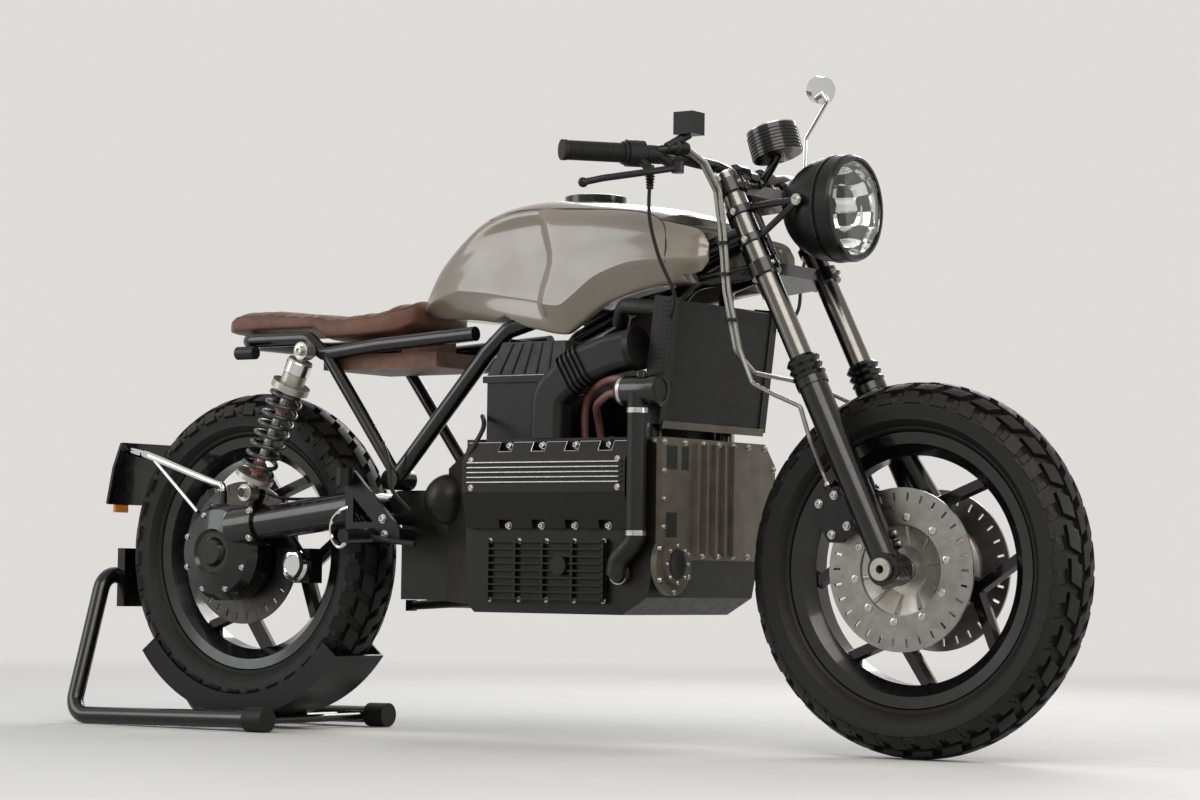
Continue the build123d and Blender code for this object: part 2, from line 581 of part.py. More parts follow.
# Main frame: head tube, top tubes, front legs to the engine and rear diagonals
HEAD_LOW = LOWER_CLAMP_STATION + CLAMP_THICKNESS / 2 + 1
HEAD_HIGH = UPPER_CLAMP_STATION - CLAMP_THICKNESS / 2 - 1
DIAGONAL_TOP = (-76, 772)
DIAGONAL_FOOT = (-322, 490)
FOOT_BOSS = 19.8
TANK_PAD = (60, 834.7)         # rubber pads under the tunnel's roof
FRONT_FOOT_X = 271
with BuildPart() as main_frame:
    drum(leg(HEAD_LOW, 0, CLAMP_OFFSET), leg(HEAD_HIGH, 0, CLAMP_OFFSET), HEAD_TUBE_RADIUS)
    high = leg(HEAD_HIGH - 38, 18, CLAMP_OFFSET + 8)
    low = leg(HEAD_LOW + 24, 14, CLAMP_OFFSET + 8)
    tube([high, at(180, 60, 848), at(DIAGONAL_TOP[0] + 14, FRAME_HALF_WIDTH - 6, 768),
          at(DIAGONAL_TOP[0] - 30, FRAME_HALF_WIDTH, DIAGONAL_TOP[1] - 46),
          at(DIAGONAL_FOOT[0], FRAME_HALF_WIDTH, DIAGONAL_FOOT[1])], MAIN_TUBE, 24)
    tube([low, at(316, 56, 846), at(276, 104, 776), at(FRONT_FOOT_X, 118, 574)], RAIL_TUBE, 40)
    drum(at(FRONT_FOOT_X, 118, 580), at(FRONT_FOOT_X, 118, ENGINE_TOP + TOUCH), 16)
    drum(at(DIAGONAL_FOOT[0], FRAME_HALF_WIDTH - 42, DIAGONAL_FOOT[1]),
         at(DIAGONAL_FOOT[0], FRAME_HALF_WIDTH + 20, DIAGONAL_FOOT[1]), FOOT_BOSS)
    drum(at(TANK_PAD[0], 87, 812), at(TANK_PAD[0], 87, TANK_PAD[1]), 9)
    mirror(about=Plane.XZ)
    drum(leg(HEAD_LOW - 1, 0, CLAMP_OFFSET), leg(HEAD_HIGH + 1, 0, CLAMP_OFFSET),
         STEM_RADIUS + RUNNING_GAP, Mode.SUBTRACT)
    drum(at(-96, -FRAME_HALF_WIDTH, 748), at(-96, FRAME_HALF_WIDTH, 748), 9)
save(main_frame.part, "main_frame")

# Tail frame: seat rails that meet in a kicked-up hoop, and the two stays
RAIL = [(-134, 764), (-366, 750), (-505, 736), (-545, 768), (-700, 768)]
HOOP_REAR_X = -738
with BuildPart() as tail_frame:
    rail = [at(x, FRAME_HALF_WIDTH, z) for x, z in RAIL]
    rail += [at(HOOP_REAR_X, 60, 768), at(HOOP_REAR_X, -60, 768)]
    rail += [at(x, -FRAME_HALF_WIDTH, z) for x, z in reversed(RAIL)]
    tube(rail, RAIL_TUBE, 22)
    for hand in (1, -1):
        y = hand * FRAME_HALF_WIDTH
        tube([at(-500, y, 738), at(-322, y, 503)], STAY_TUBE)
    drum(at(-420, -FRAME_HALF_WIDTH, 745), at(-420, FRAME_HALF_WIDTH, 745), 10)
    for hand in (1, -1):
        y = hand * FRAME_HALF_WIDTH
        drum(at(DIAGONAL_TOP[0] - 30, y, DIAGONAL_TOP[1] - 46),
             at(DIAGONAL_FOOT[0], y, DIAGONAL_FOOT[1]), MAIN_TUBE / 2 + TOUCH, Mode.SUBTRACT)
        drum(at(DIAGONAL_FOOT[0], y - 50, DIAGONAL_FOOT[1]),
             at(DIAGONAL_FOOT[0], y + 50, DIAGONAL_FOOT[1]), FOOT_BOSS + TOUCH, Mode.SUBTRACT)
    drum(at(-530, -FRAME_HALF_WIDTH - 44, 741), at(-530, -FRAME_HALF_WIDTH, 741), 9)
save(tail_frame.part, "tail_frame")

# Fuel tank lofted through cross-sections: x, half width, low edge, top
TANK_SECTIONS = [
    (-300, 66, 808, 846), (-235, 96, 798, 924), (-130, 126, 786, 997), (0, 150, 772, 1018),
    (84, 158, 757, 1013), (150, 163, 796, 1004), (260, 165, 830, 988), (350, 160, 842, 966),
    (402, 148, 862, 936),
]
FORK_RECESS = 62              # clear distance kept behind the steering axis
HOSE_RECESS = 86              # the same below the brake hoses' upper tie
HOSE_RECESS_STATION = 765
RECESS_HALF_WIDTH = HALF_SPACING + 42
TANK_TUNNELS = [
    (124, [(-150, 740), (-150, 772), (-60, 797), (60, 838), (160, 876), (160, 740)]),
    (94, [(150, 740), (150, 876), (230, 906), (420, 1000), (420, 740)]),
]
KNEE_X, KNEE_Z = -2, 880      # middle of each knee recess
KNEE_DEPTH_Y = 120            # half width left between the two recesses
KNEE_RADIUS = 74              # across the recess, seen from above
KNEE_SWING = 128              # the recess curves in height round this much more
CAP_X = 54
CAP_RADIUS = 58
CAP_SEAT_Z = 1007
with BuildPart() as tank:
    for x, half, low, top in TANK_SECTIONS:
        rise = top - low
        with BuildSketch(front_view(x)):
            with BuildLine():
                Polyline((-half, low + rise * 0.2), (-half * 0.86, low), (half * 0.86, low),
                         (half, low + rise * 0.2))
                ThreePointArc((half, low + rise * 0.2), (half * 0.97, low + rise * 0.55),
                              (half * 0.84, low + rise * 0.8))
                ThreePointArc((half * 0.84, low + rise * 0.8), (0, top),
                              (-half * 0.84, low + rise * 0.8))
                ThreePointArc((-half * 0.84, low + rise * 0.8), (-half * 0.97, low + rise * 0.55),
                              (-half, low + rise * 0.2))
            make_face()
    loft()
    for hand in (1, -1):
        knee_axis = at(KNEE_X, hand * (KNEE_DEPTH_Y + KNEE_RADIUS + KNEE_SWING), KNEE_Z)
        with BuildSketch(Plane(origin=knee_axis, x_dir=(1, 0, 0), z_dir=(0, 0, 1))):
            with Locations((0, -hand * KNEE_SWING)):
                Circle(KNEE_RADIUS)
        revolve(axis=Axis(knee_axis, (1, 0, 0)), mode=Mode.SUBTRACT)
    for recess, top_station in ((FORK_RECESS, 900), (HOSE_RECESS, HOSE_RECESS_STATION)):
        with BuildSketch(clamp_plane(top_station)):
            with Locations((CLAMP_OFFSET + recess - 200, 0)):
                Rectangle(400, 2 * RECESS_HALF_WIDTH)
        extrude(amount=-400, mode=Mode.SUBTRACT)
    for half_width, tunnel in TANK_TUNNELS:
        with BuildSketch(side(0)):
            Polygon(*tunnel, align=None)
        extrude(amount=half_width, both=True, mode=Mode.SUBTRACT)
    drum(at(CAP_X, 0, CAP_SEAT_Z), at(CAP_X, 0, 1100), CAP_RADIUS + 0.3, Mode.SUBTRACT)
save(tank.part, "fuel_tank")

with BuildPart() as cap:
    drum(at(CAP_X, 0, CAP_SEAT_Z), at(CAP_X, 0, CAP_SEAT_Z + 16), CAP_RADIUS)
save(cap.part, "filler_cap")

# Seat cushion on its pan
SEAT_TOP = [(-792, 796), (-770, 826), (-673, 828), (-568, 818), (-490, 812), (-415, 817),
            (-340, 834), (-304, 842)]
SEAT_FOOT = [(-304, 786), (-366, 768), (-497, 758), (-544, 786), (-792, 784)]
SEAT_HALF_WIDTH = 116
SEAT_BEVEL = 20
SEAT_PAN_TOP = 734.8          # just under the tail frame's cross tube
with BuildPart() as seat:
    with BuildSketch(side(0)):
        Polygon(*SEAT_TOP, *SEAT_FOOT, align=None)
    extrude(amount=SEAT_HALF_WIDTH - SEAT_BEVEL, both=True)
    for y, way in ((SEAT_HALF_WIDTH - SEAT_BEVEL, -1), (SEAT_BEVEL - SEAT_HALF_WIDTH, 1)):
        with BuildSketch(side(y)) as edge:
            Polygon(*SEAT_TOP, *SEAT_FOOT, align=None)
        extrude(edge.sketch, amount=way * SEAT_BEVEL, taper=30)
save(seat.part, "seat_cushion")

with BuildPart() as seat_pan:
    block((-520, -FRAME_HALF_WIDTH + 16, 706), (-240, FRAME_HALF_WIDTH - 16, SEAT_PAN_TOP))
    for low_x, high_x, pad_top in ((-480, -440, 759), (-360, -320, 769.4)):
        block((low_x, -60, SEAT_PAN_TOP - 1), (high_x, 60, pad_top))
save(seat_pan.part, "seat_pan")

# Engine: crankcase block with the front and bottom chamfers
with BuildPart() as engine:
    with BuildSketch(side(ENGINE_LEFT)):
        Polygon((ENGINE_REAR, ENGINE_TOP), (ENGINE_REAR, 262), (-70, ENGINE_BOTTOM),
                (262, ENGINE_BOTTOM), (316, 274), (ENGINE_FRONT, 345),
                (ENGINE_FRONT, 548), (300, ENGINE_TOP), align=None)
    extrude(amount=ENGINE_LEFT - ENGINE_RIGHT)
save(engine.part, "engine_block")

# Right-hand crankshaft cover: sloped top and bottom, ribbed band, bolt notches
COVER_REAR, COVER_FRONT = -81, 284
COVER_SECTION = [(0, 553), (-10, 553), (-29, 518), (-29, 462), (-12, 396), (0, 396)]
NOTCH_WIDTH = 30
NOTCH_HEIGHTS = [(536, 560), (390, 412)]
RIB_COUNT = 5
with BuildPart() as crank_cover:
    with BuildSketch(front_view(COVER_REAR)):
        Polygon(*[(ENGINE_RIGHT + y, z) for y, z in COVER_SECTION], align=None)
    extrude(amount=COVER_FRONT - COVER_REAR)
    for i in range(CYLINDER_COUNT):
        x = CYLINDER_FIRST_X + i * CYLINDER_PITCH
        for low, high in NOTCH_HEIGHTS:
            block((x - NOTCH_WIDTH / 2, ENGINE_RIGHT - 40, low),
                  (x + NOTCH_WIDTH / 2, ENGINE_RIGHT - 3, high), Mode.SUBTRACT)
    for i in range(RIB_COUNT):
        z = 480 + i * 9
        block((COVER_REAR + 6, ENGINE_RIGHT - 31.5, z - 1.5),
              (COVER_FRONT - 6, ENGINE_RIGHT - 28, z + 1.5))
save(crank_cover.part, "crank_cover")

# Lower right cover with a grid of fins and a round plug
with BuildPart() as sump_cover:
    block((-36, ENGINE_RIGHT - 6, 262), (231, ENGINE_RIGHT, 378))
    for i in range(9):
        z = 268 + i * 13
        block((-30, ENGINE_RIGHT - 16, z - 1.5), (225, ENGINE_RIGHT - 5, z + 1.5))
    for x in (-31, 30, 92, 158, 226):
        block((x - 2.5, ENGINE_RIGHT - 14, 264), (x + 2.5, ENGINE_RIGHT - 5, 376))
    drum(at(133, ENGINE_RIGHT - 5, 329), at(133, ENGINE_RIGHT - 20, 329), 17)
save(sump_cover.part, "sump_cover")

# Front timing chest with upright ribs and the round crankshaft cover
with BuildPart() as timing:
    with BuildSketch(front_view(ENGINE_FRONT)):
        Polygon((-192, 560), (-192, 330), (-160, 290), (-118, 342), (150, 342), (186, 380),
                (186, 520), (150, 560), align=None)
        with Locations((-150, 334)):
            Circle(56)
    extrude(amount=12)
    for y in (-85, -55, -25, 5, 35):
        block((ENGINE_FRONT + 11, y - 3, 350), (ENGINE_FRONT + 20, y + 3, 552))
    drum(at(ENGINE_FRONT + 11, -150, 334), at(ENGINE_FRONT + 20, -150, 334), 38)
save(timing.part, "timing_cover")

# Cylinder head and cam cover on the left
HEAD_BOTTOM = 334
with BuildPart() as head:
    block((-62, ENGINE_LEFT, HEAD_BOTTOM), (304, ENGINE_LEFT + 50, 520))
    block((-52, ENGINE_LEFT + 49, 344), (294, HEAD_COVER_LEFT, 510))
    for i in range(RIB_COUNT):
        z = 400 + i * 14
        block((-40, HEAD_COVER_LEFT - 1, z - 2), (282, HEAD_COVER_LEFT + 4, z + 2))
save(head.part, "cylinder_head")

# Bell housing and gearbox
GEARBOX_RIGHT, GEARBOX_LEFT = -100, 96
DOME_XZ = (-190, 452)         # starter end under its round cap
STAND_PIVOT = at(-235, 122, 262)
STAND_AXIS = Vector(0, 0.953, 0.303)
PIVOT_HALF = 9
PIVOT_RADIUS = 14
with BuildPart() as gearbox:
    with BuildSketch(front_view(ENGINE_REAR)):
        with Locations((-20, 405)):
            Rectangle(300, 300)
    with BuildSketch(front_view(-190)):
        with Locations((-6, 385)):
            Rectangle(236, 250)
    loft()
    block((-320, GEARBOX_RIGHT, 262), (-189, GEARBOX_LEFT, 470))
    drum(at(DOME_XZ[0], -90, DOME_XZ[1]), at(DOME_XZ[0], -138, DOME_XZ[1]), 44)
    with Locations(at(DOME_XZ[0], -120, DOME_XZ[1])):
        Sphere(48)
    drum(at(-330, -FRAME_HALF_WIDTH + 24, 446), at(-330, FRAME_HALF_WIDTH - 24, 446), 24)
    block((-252, GEARBOX_LEFT - 10, 252), (-218, GEARBOX_LEFT + 8, 300))
    drum(STAND_PIVOT - STAND_AXIS * 25, STAND_PIVOT - STAND_AXIS * (PIVOT_HALF + TOUCH), PIVOT_RADIUS)
save(gearbox.part, "gearbox")

# Airbox above the engine and its intake duct
AIRBOX_LEFT = 110
with BuildPart() as airbox:
    block((-85, -146, ENGINE_TOP), (94, AIRBOX_LEFT, 676))
    block((-92, -151, 668), (100, AIRBOX_LEFT + 6, 680))
    block((60, 20, ENGINE_TOP), (254, AIRBOX_LEFT, 656))
    with BuildSketch(Plane(origin=at(2, -20, 680))):
        Rectangle(180, 248)
    with BuildSketch(Plane(origin=at(12, -20, 744))):
        Rectangle(144, 226)
    loft()
save(airbox.part, "airbox")

DUCT_FOLDS = 5
DUCT_PATH = [(84, ENGINE_TOP + TOUCH), (86, 640), (150, 690), (222, 712), (280, 721)]
with BuildPart() as duct:
    route = [at(x, -176, z) for x, z in DUCT_PATH]
    with BuildLine() as duct_line:
        FilletPolyline(*route, radius=34)
    with BuildSketch(Plane(origin=route[0], x_dir=(0, 1, 0), z_dir=(0, 0, 1))):
        RectangleRounded(46, 72, 16)
    sweep(path=duct_line.line)
    fold_start = route[2] + (route[1] - route[2]) * 0.36
    fold_end = route[2] + (route[3] - route[2]) * 0.2
    fold_way = (fold_end - fold_start).normalized()
    fold_foot = Plane(origin=fold_start - fold_way * 2, x_dir=(0, 1, 0), z_dir=fold_way)
    for i in range(DUCT_FOLDS):
        step = (fold_end - fold_start).length * i / (DUCT_FOLDS - 1)
        with BuildSketch(fold_foot.offset(step)) as fold:
            RectangleRounded(56, 84, 20)
        extrude(fold.sketch, amount=4)
    drum(route[-1] - (route[-1] - route[-2]).normalized() * 14, route[-1], 40)
save(duct.part, "intake_duct")

# Radiator leaning forward at its top, with side tanks
RADIATOR_TOP = (351, 806)
RADIATOR_FOOT = (325, 587)
RADIATOR_HALF_WIDTH = 177
SIDE_TANK = 22
RADIATOR_LUG_X = 288.5         # lugs end on the frame's front legs
TANK_SWELL = 6                # side tanks stand out behind the core
RADIATOR_DEPTH = 34
with BuildPart() as radiator:
    top, foot = at(RADIATOR_TOP[0], 0, RADIATOR_TOP[1]), at(RADIATOR_FOOT[0], 0, RADIATOR_FOOT[1])
    core_up = (top - foot).normalized()
    face_out = core_up.cross(Vector(0, -1, 0))
    face = Plane(origin=(top + foot) * 0.5, x_dir=(0, 1, 0), z_dir=face_out)
    with BuildSketch(face.offset(-RADIATOR_DEPTH)):
        Rectangle(2 * RADIATOR_HALF_WIDTH - 40, (top - foot).length)
    extrude(amount=RADIATOR_DEPTH - 3)
    for hand in (1, -1):
        with BuildSketch(face.offset(-RADIATOR_DEPTH - TANK_SWELL)):
            with Locations((hand * (RADIATOR_HALF_WIDTH - SIDE_TANK / 2), 0)):
                Rectangle(SIDE_TANK, (top - foot).length + 8)
        extrude(amount=RADIATOR_DEPTH + TANK_SWELL)
        drum(at(312, hand * 109, 700), at(RADIATOR_LUG_X, hand * 109, 700), 7)
save(radiator.part, "radiator")

# Thermostat housing and coolant hoses on the right
THERMOSTAT_Y = -206
THERMOSTAT_RADIUS = 26
HOSE_Y = -216
LOWER_HOSE = 36
UPPER_HOSE = 32
with BuildPart() as coolant:
    drum(at(262, THERMOSTAT_Y, 642), at(346, THERMOSTAT_Y, 642), THERMOSTAT_RADIUS)
    tube([at(304, HOSE_Y, 636), at(304, HOSE_Y, 376), at(266, HOSE_Y, 340), at(262, HOSE_Y, 312)],
         LOWER_HOSE, 24)
    drum(at(262, HOSE_Y, 318), at(262, ENGINE_RIGHT - TOUCH, 318), LOWER_HOSE / 2 - 1)
    outlet = top - face_out * (RADIATOR_DEPTH + TANK_SWELL + TOUCH)
    outlet -= core_up * 20 + Vector(0, RADIATOR_HALF_WIDTH - 20, 0)
    tube([outlet, outlet - face_out * 40, at(226, -150, 800), at(206, -130, 770)], UPPER_HOSE, 24)
save(coolant.part, "coolant_pipes")

# Swingarm: one tube on the right from the cross pivot to the final drive
ARM_Y = -126
ARM_RADIUS = 34
GAITER_FOLDS = 3
PIVOT = (-330, 446)
ARM_START = at(-372, ARM_Y, 440)
ARM_END = aft(-660, ARM_Y, 404)
ARM_WAY = (ARM_END - ARM_START).normalized()
with BuildPart() as swingarm:
    drum(ARM_START, ARM_END, ARM_RADIUS)
    drum(ARM_END - ARM_WAY * 9, ARM_END, ARM_RADIUS + 7)
    for i in range(GAITER_FOLDS):
        drum(ARM_START + ARM_WAY * (2 + i * 9), ARM_START + ARM_WAY * (7 + i * 9), ARM_RADIUS + 3)
    drum(at(-385, -150, 440), at(-385, 96, 440), 26)
    for hand in (1, -1):
        drum(at(-385, hand * 80, 446), at(-354.3, hand * 80, 446), 12)
save(swingarm.part, "swingarm")

# Final drive with its shock lug and the spigot that carries the wheel
DRIVE_RIBS = 6
with BuildPart() as final_drive:
    with BuildSketch(radial_plane(REAR_AXLE)):
        Polygon((0, -78), (92, -78), (96, -82), (96, -126), (84, -143), (46, -156), (40, -150),
                (30, -150), (24, -160), (0, -160), align=None)
    revolve(axis=wheel_axis(REAR_AXLE))
    for i in range(DRIVE_RIBS):
        angle = radians(100 + i * 200 / (DRIVE_RIBS - 1))
        spoke_way = Vector(cos(angle), 0, sin(angle))
        drum(REAR_AXLE + spoke_way * 88 + Vector(0, -80, 0),
             REAR_AXLE + spoke_way * 88 + Vector(0, -132, 0), 7)
    drum(REAR_AXLE + Vector(0, 42, 0), REAR_AXLE + Vector(0, -80, 0), SPIGOT_RADIUS)
    drum(ARM_END + ARM_WAY * 0.2, ARM_END + ARM_WAY * 60, ARM_RADIUS + 6)
    drum(aft(-700, -118, 420), aft(-668, -118, 466), 15)
    drum(aft(-668, -110, 466), aft(-668, -172, 466), 9)
save(final_drive.part, "final_drive")

# Shock absorber and its coil spring
SHOCK_TOP = at(-530, -150, 741)
SHOCK_FOOT = aft(-668, -150, 466)
SHOCK_UP = (SHOCK_TOP - SHOCK_FOOT).normalized()
SHOCK_LENGTH = (SHOCK_TOP - SHOCK_FOOT).length
SPRING_RADIUS = 31
SPRING_WIRE = 9
with BuildPart() as shock:
    drum(SHOCK_FOOT + SHOCK_UP * 12, SHOCK_TOP - SHOCK_UP * 12, 9)
    drum(SHOCK_TOP - SHOCK_UP * 70, SHOCK_TOP - SHOCK_UP * 20, 24)
    drum(SHOCK_TOP - SHOCK_UP * 84, SHOCK_TOP - SHOCK_UP * 70, 38)
    drum(SHOCK_FOOT + SHOCK_UP * 30, SHOCK_FOOT + SHOCK_UP * 40, 38)
    for eye in (SHOCK_TOP, SHOCK_FOOT):
        drum(eye - Vector(0, 13, 0), eye + Vector(0, 13, 0), 17)
    for eye in (SHOCK_TOP, SHOCK_FOOT):
        drum(eye - Vector(0, 20, 0), eye + Vector(0, 20, 0), 9.1, Mode.SUBTRACT)
save(shock.part, "shock_absorber")

SPRING_LOW, SPRING_HIGH = 40.4 + SPRING_WIRE / 2, SHOCK_LENGTH - 84.4 - SPRING_WIRE / 2
SPRING_TURNS = 8
with BuildPart() as spring:
    base = Plane(origin=SHOCK_FOOT + SHOCK_UP * SPRING_LOW, z_dir=SHOCK_UP)
    height = SPRING_HIGH - SPRING_LOW
    coil = Helix(pitch=height / SPRING_TURNS, height=height, radius=SPRING_RADIUS)
    coil = base * coil
    with BuildSketch(Plane(origin=coil @ 0, z_dir=coil % 0)) as wire:
        Circle(SPRING_WIRE / 2)
    sweep(wire.sketch, path=coil, is_frenet=True)
save(spring.part, "shock_spring")

# Rear caliper below the arm
with BuildPart() as rear_caliper:
    block((-656, -77.5, 290), (-570, -38, 358), place=aft)
    slot = [REAR_AXLE + Vector(0, REAR_DISC_PLANE_Y + side_y, 0) for side_y in
            (-CALIPER_SLOT / 2, CALIPER_SLOT / 2)]
    drum(*slot, DISC_RADIUS + 2, Mode.SUBTRACT)
    drum(aft(-600, -66, 346), aft(-600, -112, 392), 9)
    drum(ARM_START, ARM_END, ARM_RADIUS + TOUCH, Mode.SUBTRACT)
save(rear_caliper.part, "rear_caliper")

# Plate bracket behind the rear tyre, on a tube and a rod from the final drive
with BuildPart() as plate_bracket:
    tube([aft(-762, -118, 445.4), aft(-762, -118, 478), aft(-958, -120, 541), aft(-1088, -60, 560)],
         14, 16)
    tube([aft(-821, -126, 428), aft(-950, -122, 536)], 7)
    with BuildSketch(Plane(origin=aft(0, 0, 0), x_dir=(1, 0, 0), z_dir=(0, -1, 0))):
        Polygon((-1079, 572), (-1073, 573), (-1094, 520), (-1110, 446), (-1116, 448), (-1100, 522),
                align=None)
    extrude(amount=85, both=True)
save(plate_bracket.part, "plate_bracket")

with BuildPart() as indicators:
    for hand in (1, -1):
        drum(at(-700, hand * 118, 752), at(-690, hand * 138, 742), 6)
        drum(at(-706, hand * 146, 742), at(-660, hand * 146, 742), 13)
save(indicators.part, "rear_indicators")

# Footrest plates with their bosses, pegs and pedals, and the brake fluid pot on the right
PLATE_OUTLINE = [(-398, 500), (-376, 506), (-262, 396), (-262, 372), (-392, 368)]
PLATE_WINDOW = [(-376, 456), (-326, 408), (-376, 408)]
PLATE_BOSSES = [(-298, 384), (-303, 414)]
PLATE_Y = 176
HEEL_GUARD = [(-388, 436), (-412, 428), (-430, 408), (-430, 380), (-412, 358), (-386, 374)]
PLATE_SHEET = 8
PEG_LENGTH = 88


def footrest(hand, gearbox_y):
    """Footrest plate on one side, its bosses reaching in to the gearbox's face."""
    with BuildSketch(side(hand * PLATE_Y + PLATE_SHEET / 2)) as plate:
        Polygon(*PLATE_OUTLINE, align=None)
        Polygon(*PLATE_WINDOW, align=None, mode=Mode.SUBTRACT)
    extrude(plate.sketch, amount=PLATE_SHEET)
    for x, z in PLATE_BOSSES:
        drum(at(x, hand * PLATE_Y, z), at(x, gearbox_y + hand * TOUCH, z), 11)
    drum(at(-330, hand * PLATE_Y, 384), at(-330, hand * (PLATE_Y + PEG_LENGTH), 380), 13)
    pedal_y = PLATE_Y + 20
    guard = [at(x, hand * (PLATE_Y + 2), z) for x, z in HEEL_GUARD]
    tube(guard, 7, 9)
    tube([at(-340, hand * pedal_y, 384), at(-270, hand * pedal_y, 372),
          at(-190, hand * (pedal_y + 26), 366)], 10, 20)


with BuildPart() as footrest_right:
    footrest(-1, GEARBOX_RIGHT)
    drum(at(-384, -PLATE_Y - 20, 478), at(-384, -PLATE_Y - 20, 510), 17)
    drum(at(-384, -PLATE_Y, 486), at(-384, -PLATE_Y - 20, 486), 6)
save(footrest_right.part, "footrest_right")

with BuildPart() as footrest_left:
    footrest(1, GEARBOX_LEFT)
save(footrest_left.part, "footrest_left")

# Exhaust: four headers to a collector, then a short muffler, all on the left
HEADER_LANES = [(170, 306), (212, 306), (170, 265), (212, 265)]
HEADER_DIAMETER = 36
COLLECTOR_X = -104
with BuildPart() as exhaust:
    for i, (lane_y, lane_z) in enumerate(HEADER_LANES):
        x = CYLINDER_FIRST_X + i * CYLINDER_PITCH
        tube([at(x, lane_y, HEAD_BOTTOM - TOUCH), at(x, lane_y, lane_z),
              at(COLLECTOR_X - 4, lane_y, lane_z)], HEADER_DIAMETER, 27)
    block((COLLECTOR_X - 90, 148, 244), (COLLECTOR_X, 234, 328))
save(exhaust.part, "exhaust_headers")

with BuildPart() as muffler:
    drum(at(COLLECTOR_X - 90, 191, 286), at(-450, 191, 286), 42)
    drum(at(-449, 191, 286), at(-476, 191, 286), 30)
    drum(at(-477, 191, 286), at(-440, 191, 286), 26, Mode.SUBTRACT)
save(muffler.part, "muffler")

# Throttle bodies between the airbox and the head on the left
with BuildPart() as throttle_bodies:
    for i in range(CYLINDER_COUNT):
        x = CYLINDER_FIRST_X + i * CYLINDER_PITCH
        tube([at(x, 176, 520.2), at(x, 176, 610), at(x, AIRBOX_LEFT + 0.2, 610)], 40, 30)
save(throttle_bodies.part, "throttle_bodies")

# Side stand folded back under the gearbox on the left
with BuildPart() as side_stand:
    tip = STAND_PIVOT + Vector(-240, 10, -14)
    drum(STAND_PIVOT - STAND_AXIS * PIVOT_HALF, STAND_PIVOT + STAND_AXIS * PIVOT_HALF, PIVOT_RADIUS)
    drum(STAND_PIVOT, tip, 9)
    with BuildSketch(Plane(origin=tip, x_dir=(0, 0, 1), z_dir=(-1, 0, 0))):
        Rectangle(22, 26)
    extrude(amount=8)
save(side_stand.part, "side_stand")

# Cradle stand: two bent side tubes that meet behind the tyre, and cross bars
STAND_REAR_X = REAR_AXLE_X - STAND_REAR_REACH
STAND_FRONT_X = REAR_AXLE_X + 168
CROSS_BAR_RADIUS = 10
CROSS_BAR_REACH = 60          # each side of the axle
CRADLE_RADIUS = REAR_TYRE_RADIUS + CRADLE_GAP
seat_radius = CRADLE_RADIUS + CRADLE_SHEET + CROSS_BAR_RADIUS + TOUCH
CROSS_BAR_Z = REAR_AXLE_Z - sqrt(seat_radius ** 2 - CROSS_BAR_REACH ** 2)
half_stand = [Vector(STAND_FRONT_X, STAND_HALF_WIDTH, STAND_FOOT_RADIUS + FOOT_TILT_RISE),
              Vector(STAND_REAR_X, STAND_HALF_WIDTH, STAND_TUBE / 2),
              Vector(STAND_REAR_X - 8, 92, 300)]
with BuildPart() as stand:
    tube(half_stand + [Vector(p.X, -p.Y, p.Z) for p in reversed(half_stand)], STAND_TUBE, 42)
    for dx in (-CROSS_BAR_REACH, CROSS_BAR_REACH):
        drum(Vector(REAR_AXLE_X + dx, -STAND_HALF_WIDTH, CROSS_BAR_Z),
             Vector(REAR_AXLE_X + dx, STAND_HALF_WIDTH, CROSS_BAR_Z), CROSS_BAR_RADIUS)
    drum(Vector(STAND_FRONT_X - 46, -STAND_HALF_WIDTH, 20),
         Vector(STAND_FRONT_X - 46, STAND_HALF_WIDTH, 20), 8)
    block((STAND_REAR_X - MID - 2, -60, 236), (STAND_REAR_X - MID + 18, 60, 356))
save(stand.part, "stand_frame")

CRADLE_HALF_WIDTH = REAR_TYRE_WIDTH / 2 + 4
CRADLE_SWEEP = (-142, -38)    # degrees round the rear axle, from forward
with BuildPart() as cradle:
    start, end = (radians(a) for a in CRADLE_SWEEP)
    for inner, low, high in ((CRADLE_RADIUS, -CRADLE_HALF_WIDTH, CRADLE_HALF_WIDTH),
                             (CRADLE_RADIUS - 40, -CRADLE_HALF_WIDTH - CRADLE_SHEET,
                              -CRADLE_HALF_WIDTH),
                             (CRADLE_RADIUS - 40, CRADLE_HALF_WIDTH,
                              CRADLE_HALF_WIDTH + CRADLE_SHEET)):
        outer = CRADLE_RADIUS + CRADLE_SHEET
        centre = REAR_AXLE
        with BuildSketch(Plane(origin=REAR_AXLE + Vector(0, low, 0), x_dir=(1, 0, 0),
                               z_dir=(0, 1, 0))):
            with BuildLine():
                points = [(r * cos(a), -r * sin(a)) for r in (inner, outer)
                          for a in (start, (start + end) / 2, end)]
                ThreePointArc(*points[:3])
                Line(points[2], points[5])
                ThreePointArc(points[5], points[4], points[3])
                Line(points[3], points[0])
            make_face()
        extrude(amount=high - low)
save(cradle.part, "stand_cradle")

with BuildPart() as stand_feet:
    for hand in (1, -1):
        foot, rear = (Vector(p.X, hand * p.Y, p.Z) for p in half_stand[:2])
        way = (foot - rear).normalized()
        drum(foot - way * 34, foot + way * 14, STAND_FOOT_RADIUS)
        drum(foot - way * 60, foot + way * 0.1, STAND_TUBE / 2 + 0.1, Mode.SUBTRACT)
save(stand_feet.part, "stand_feet")
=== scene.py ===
# Studio scene of the cafe racer motorcycle held by its rear wheel in a cradle stand.
from math import atan2, cos, pi, radians, sin, sqrt

import bmesh
import bpy
from mathutils import Matrix, Vector


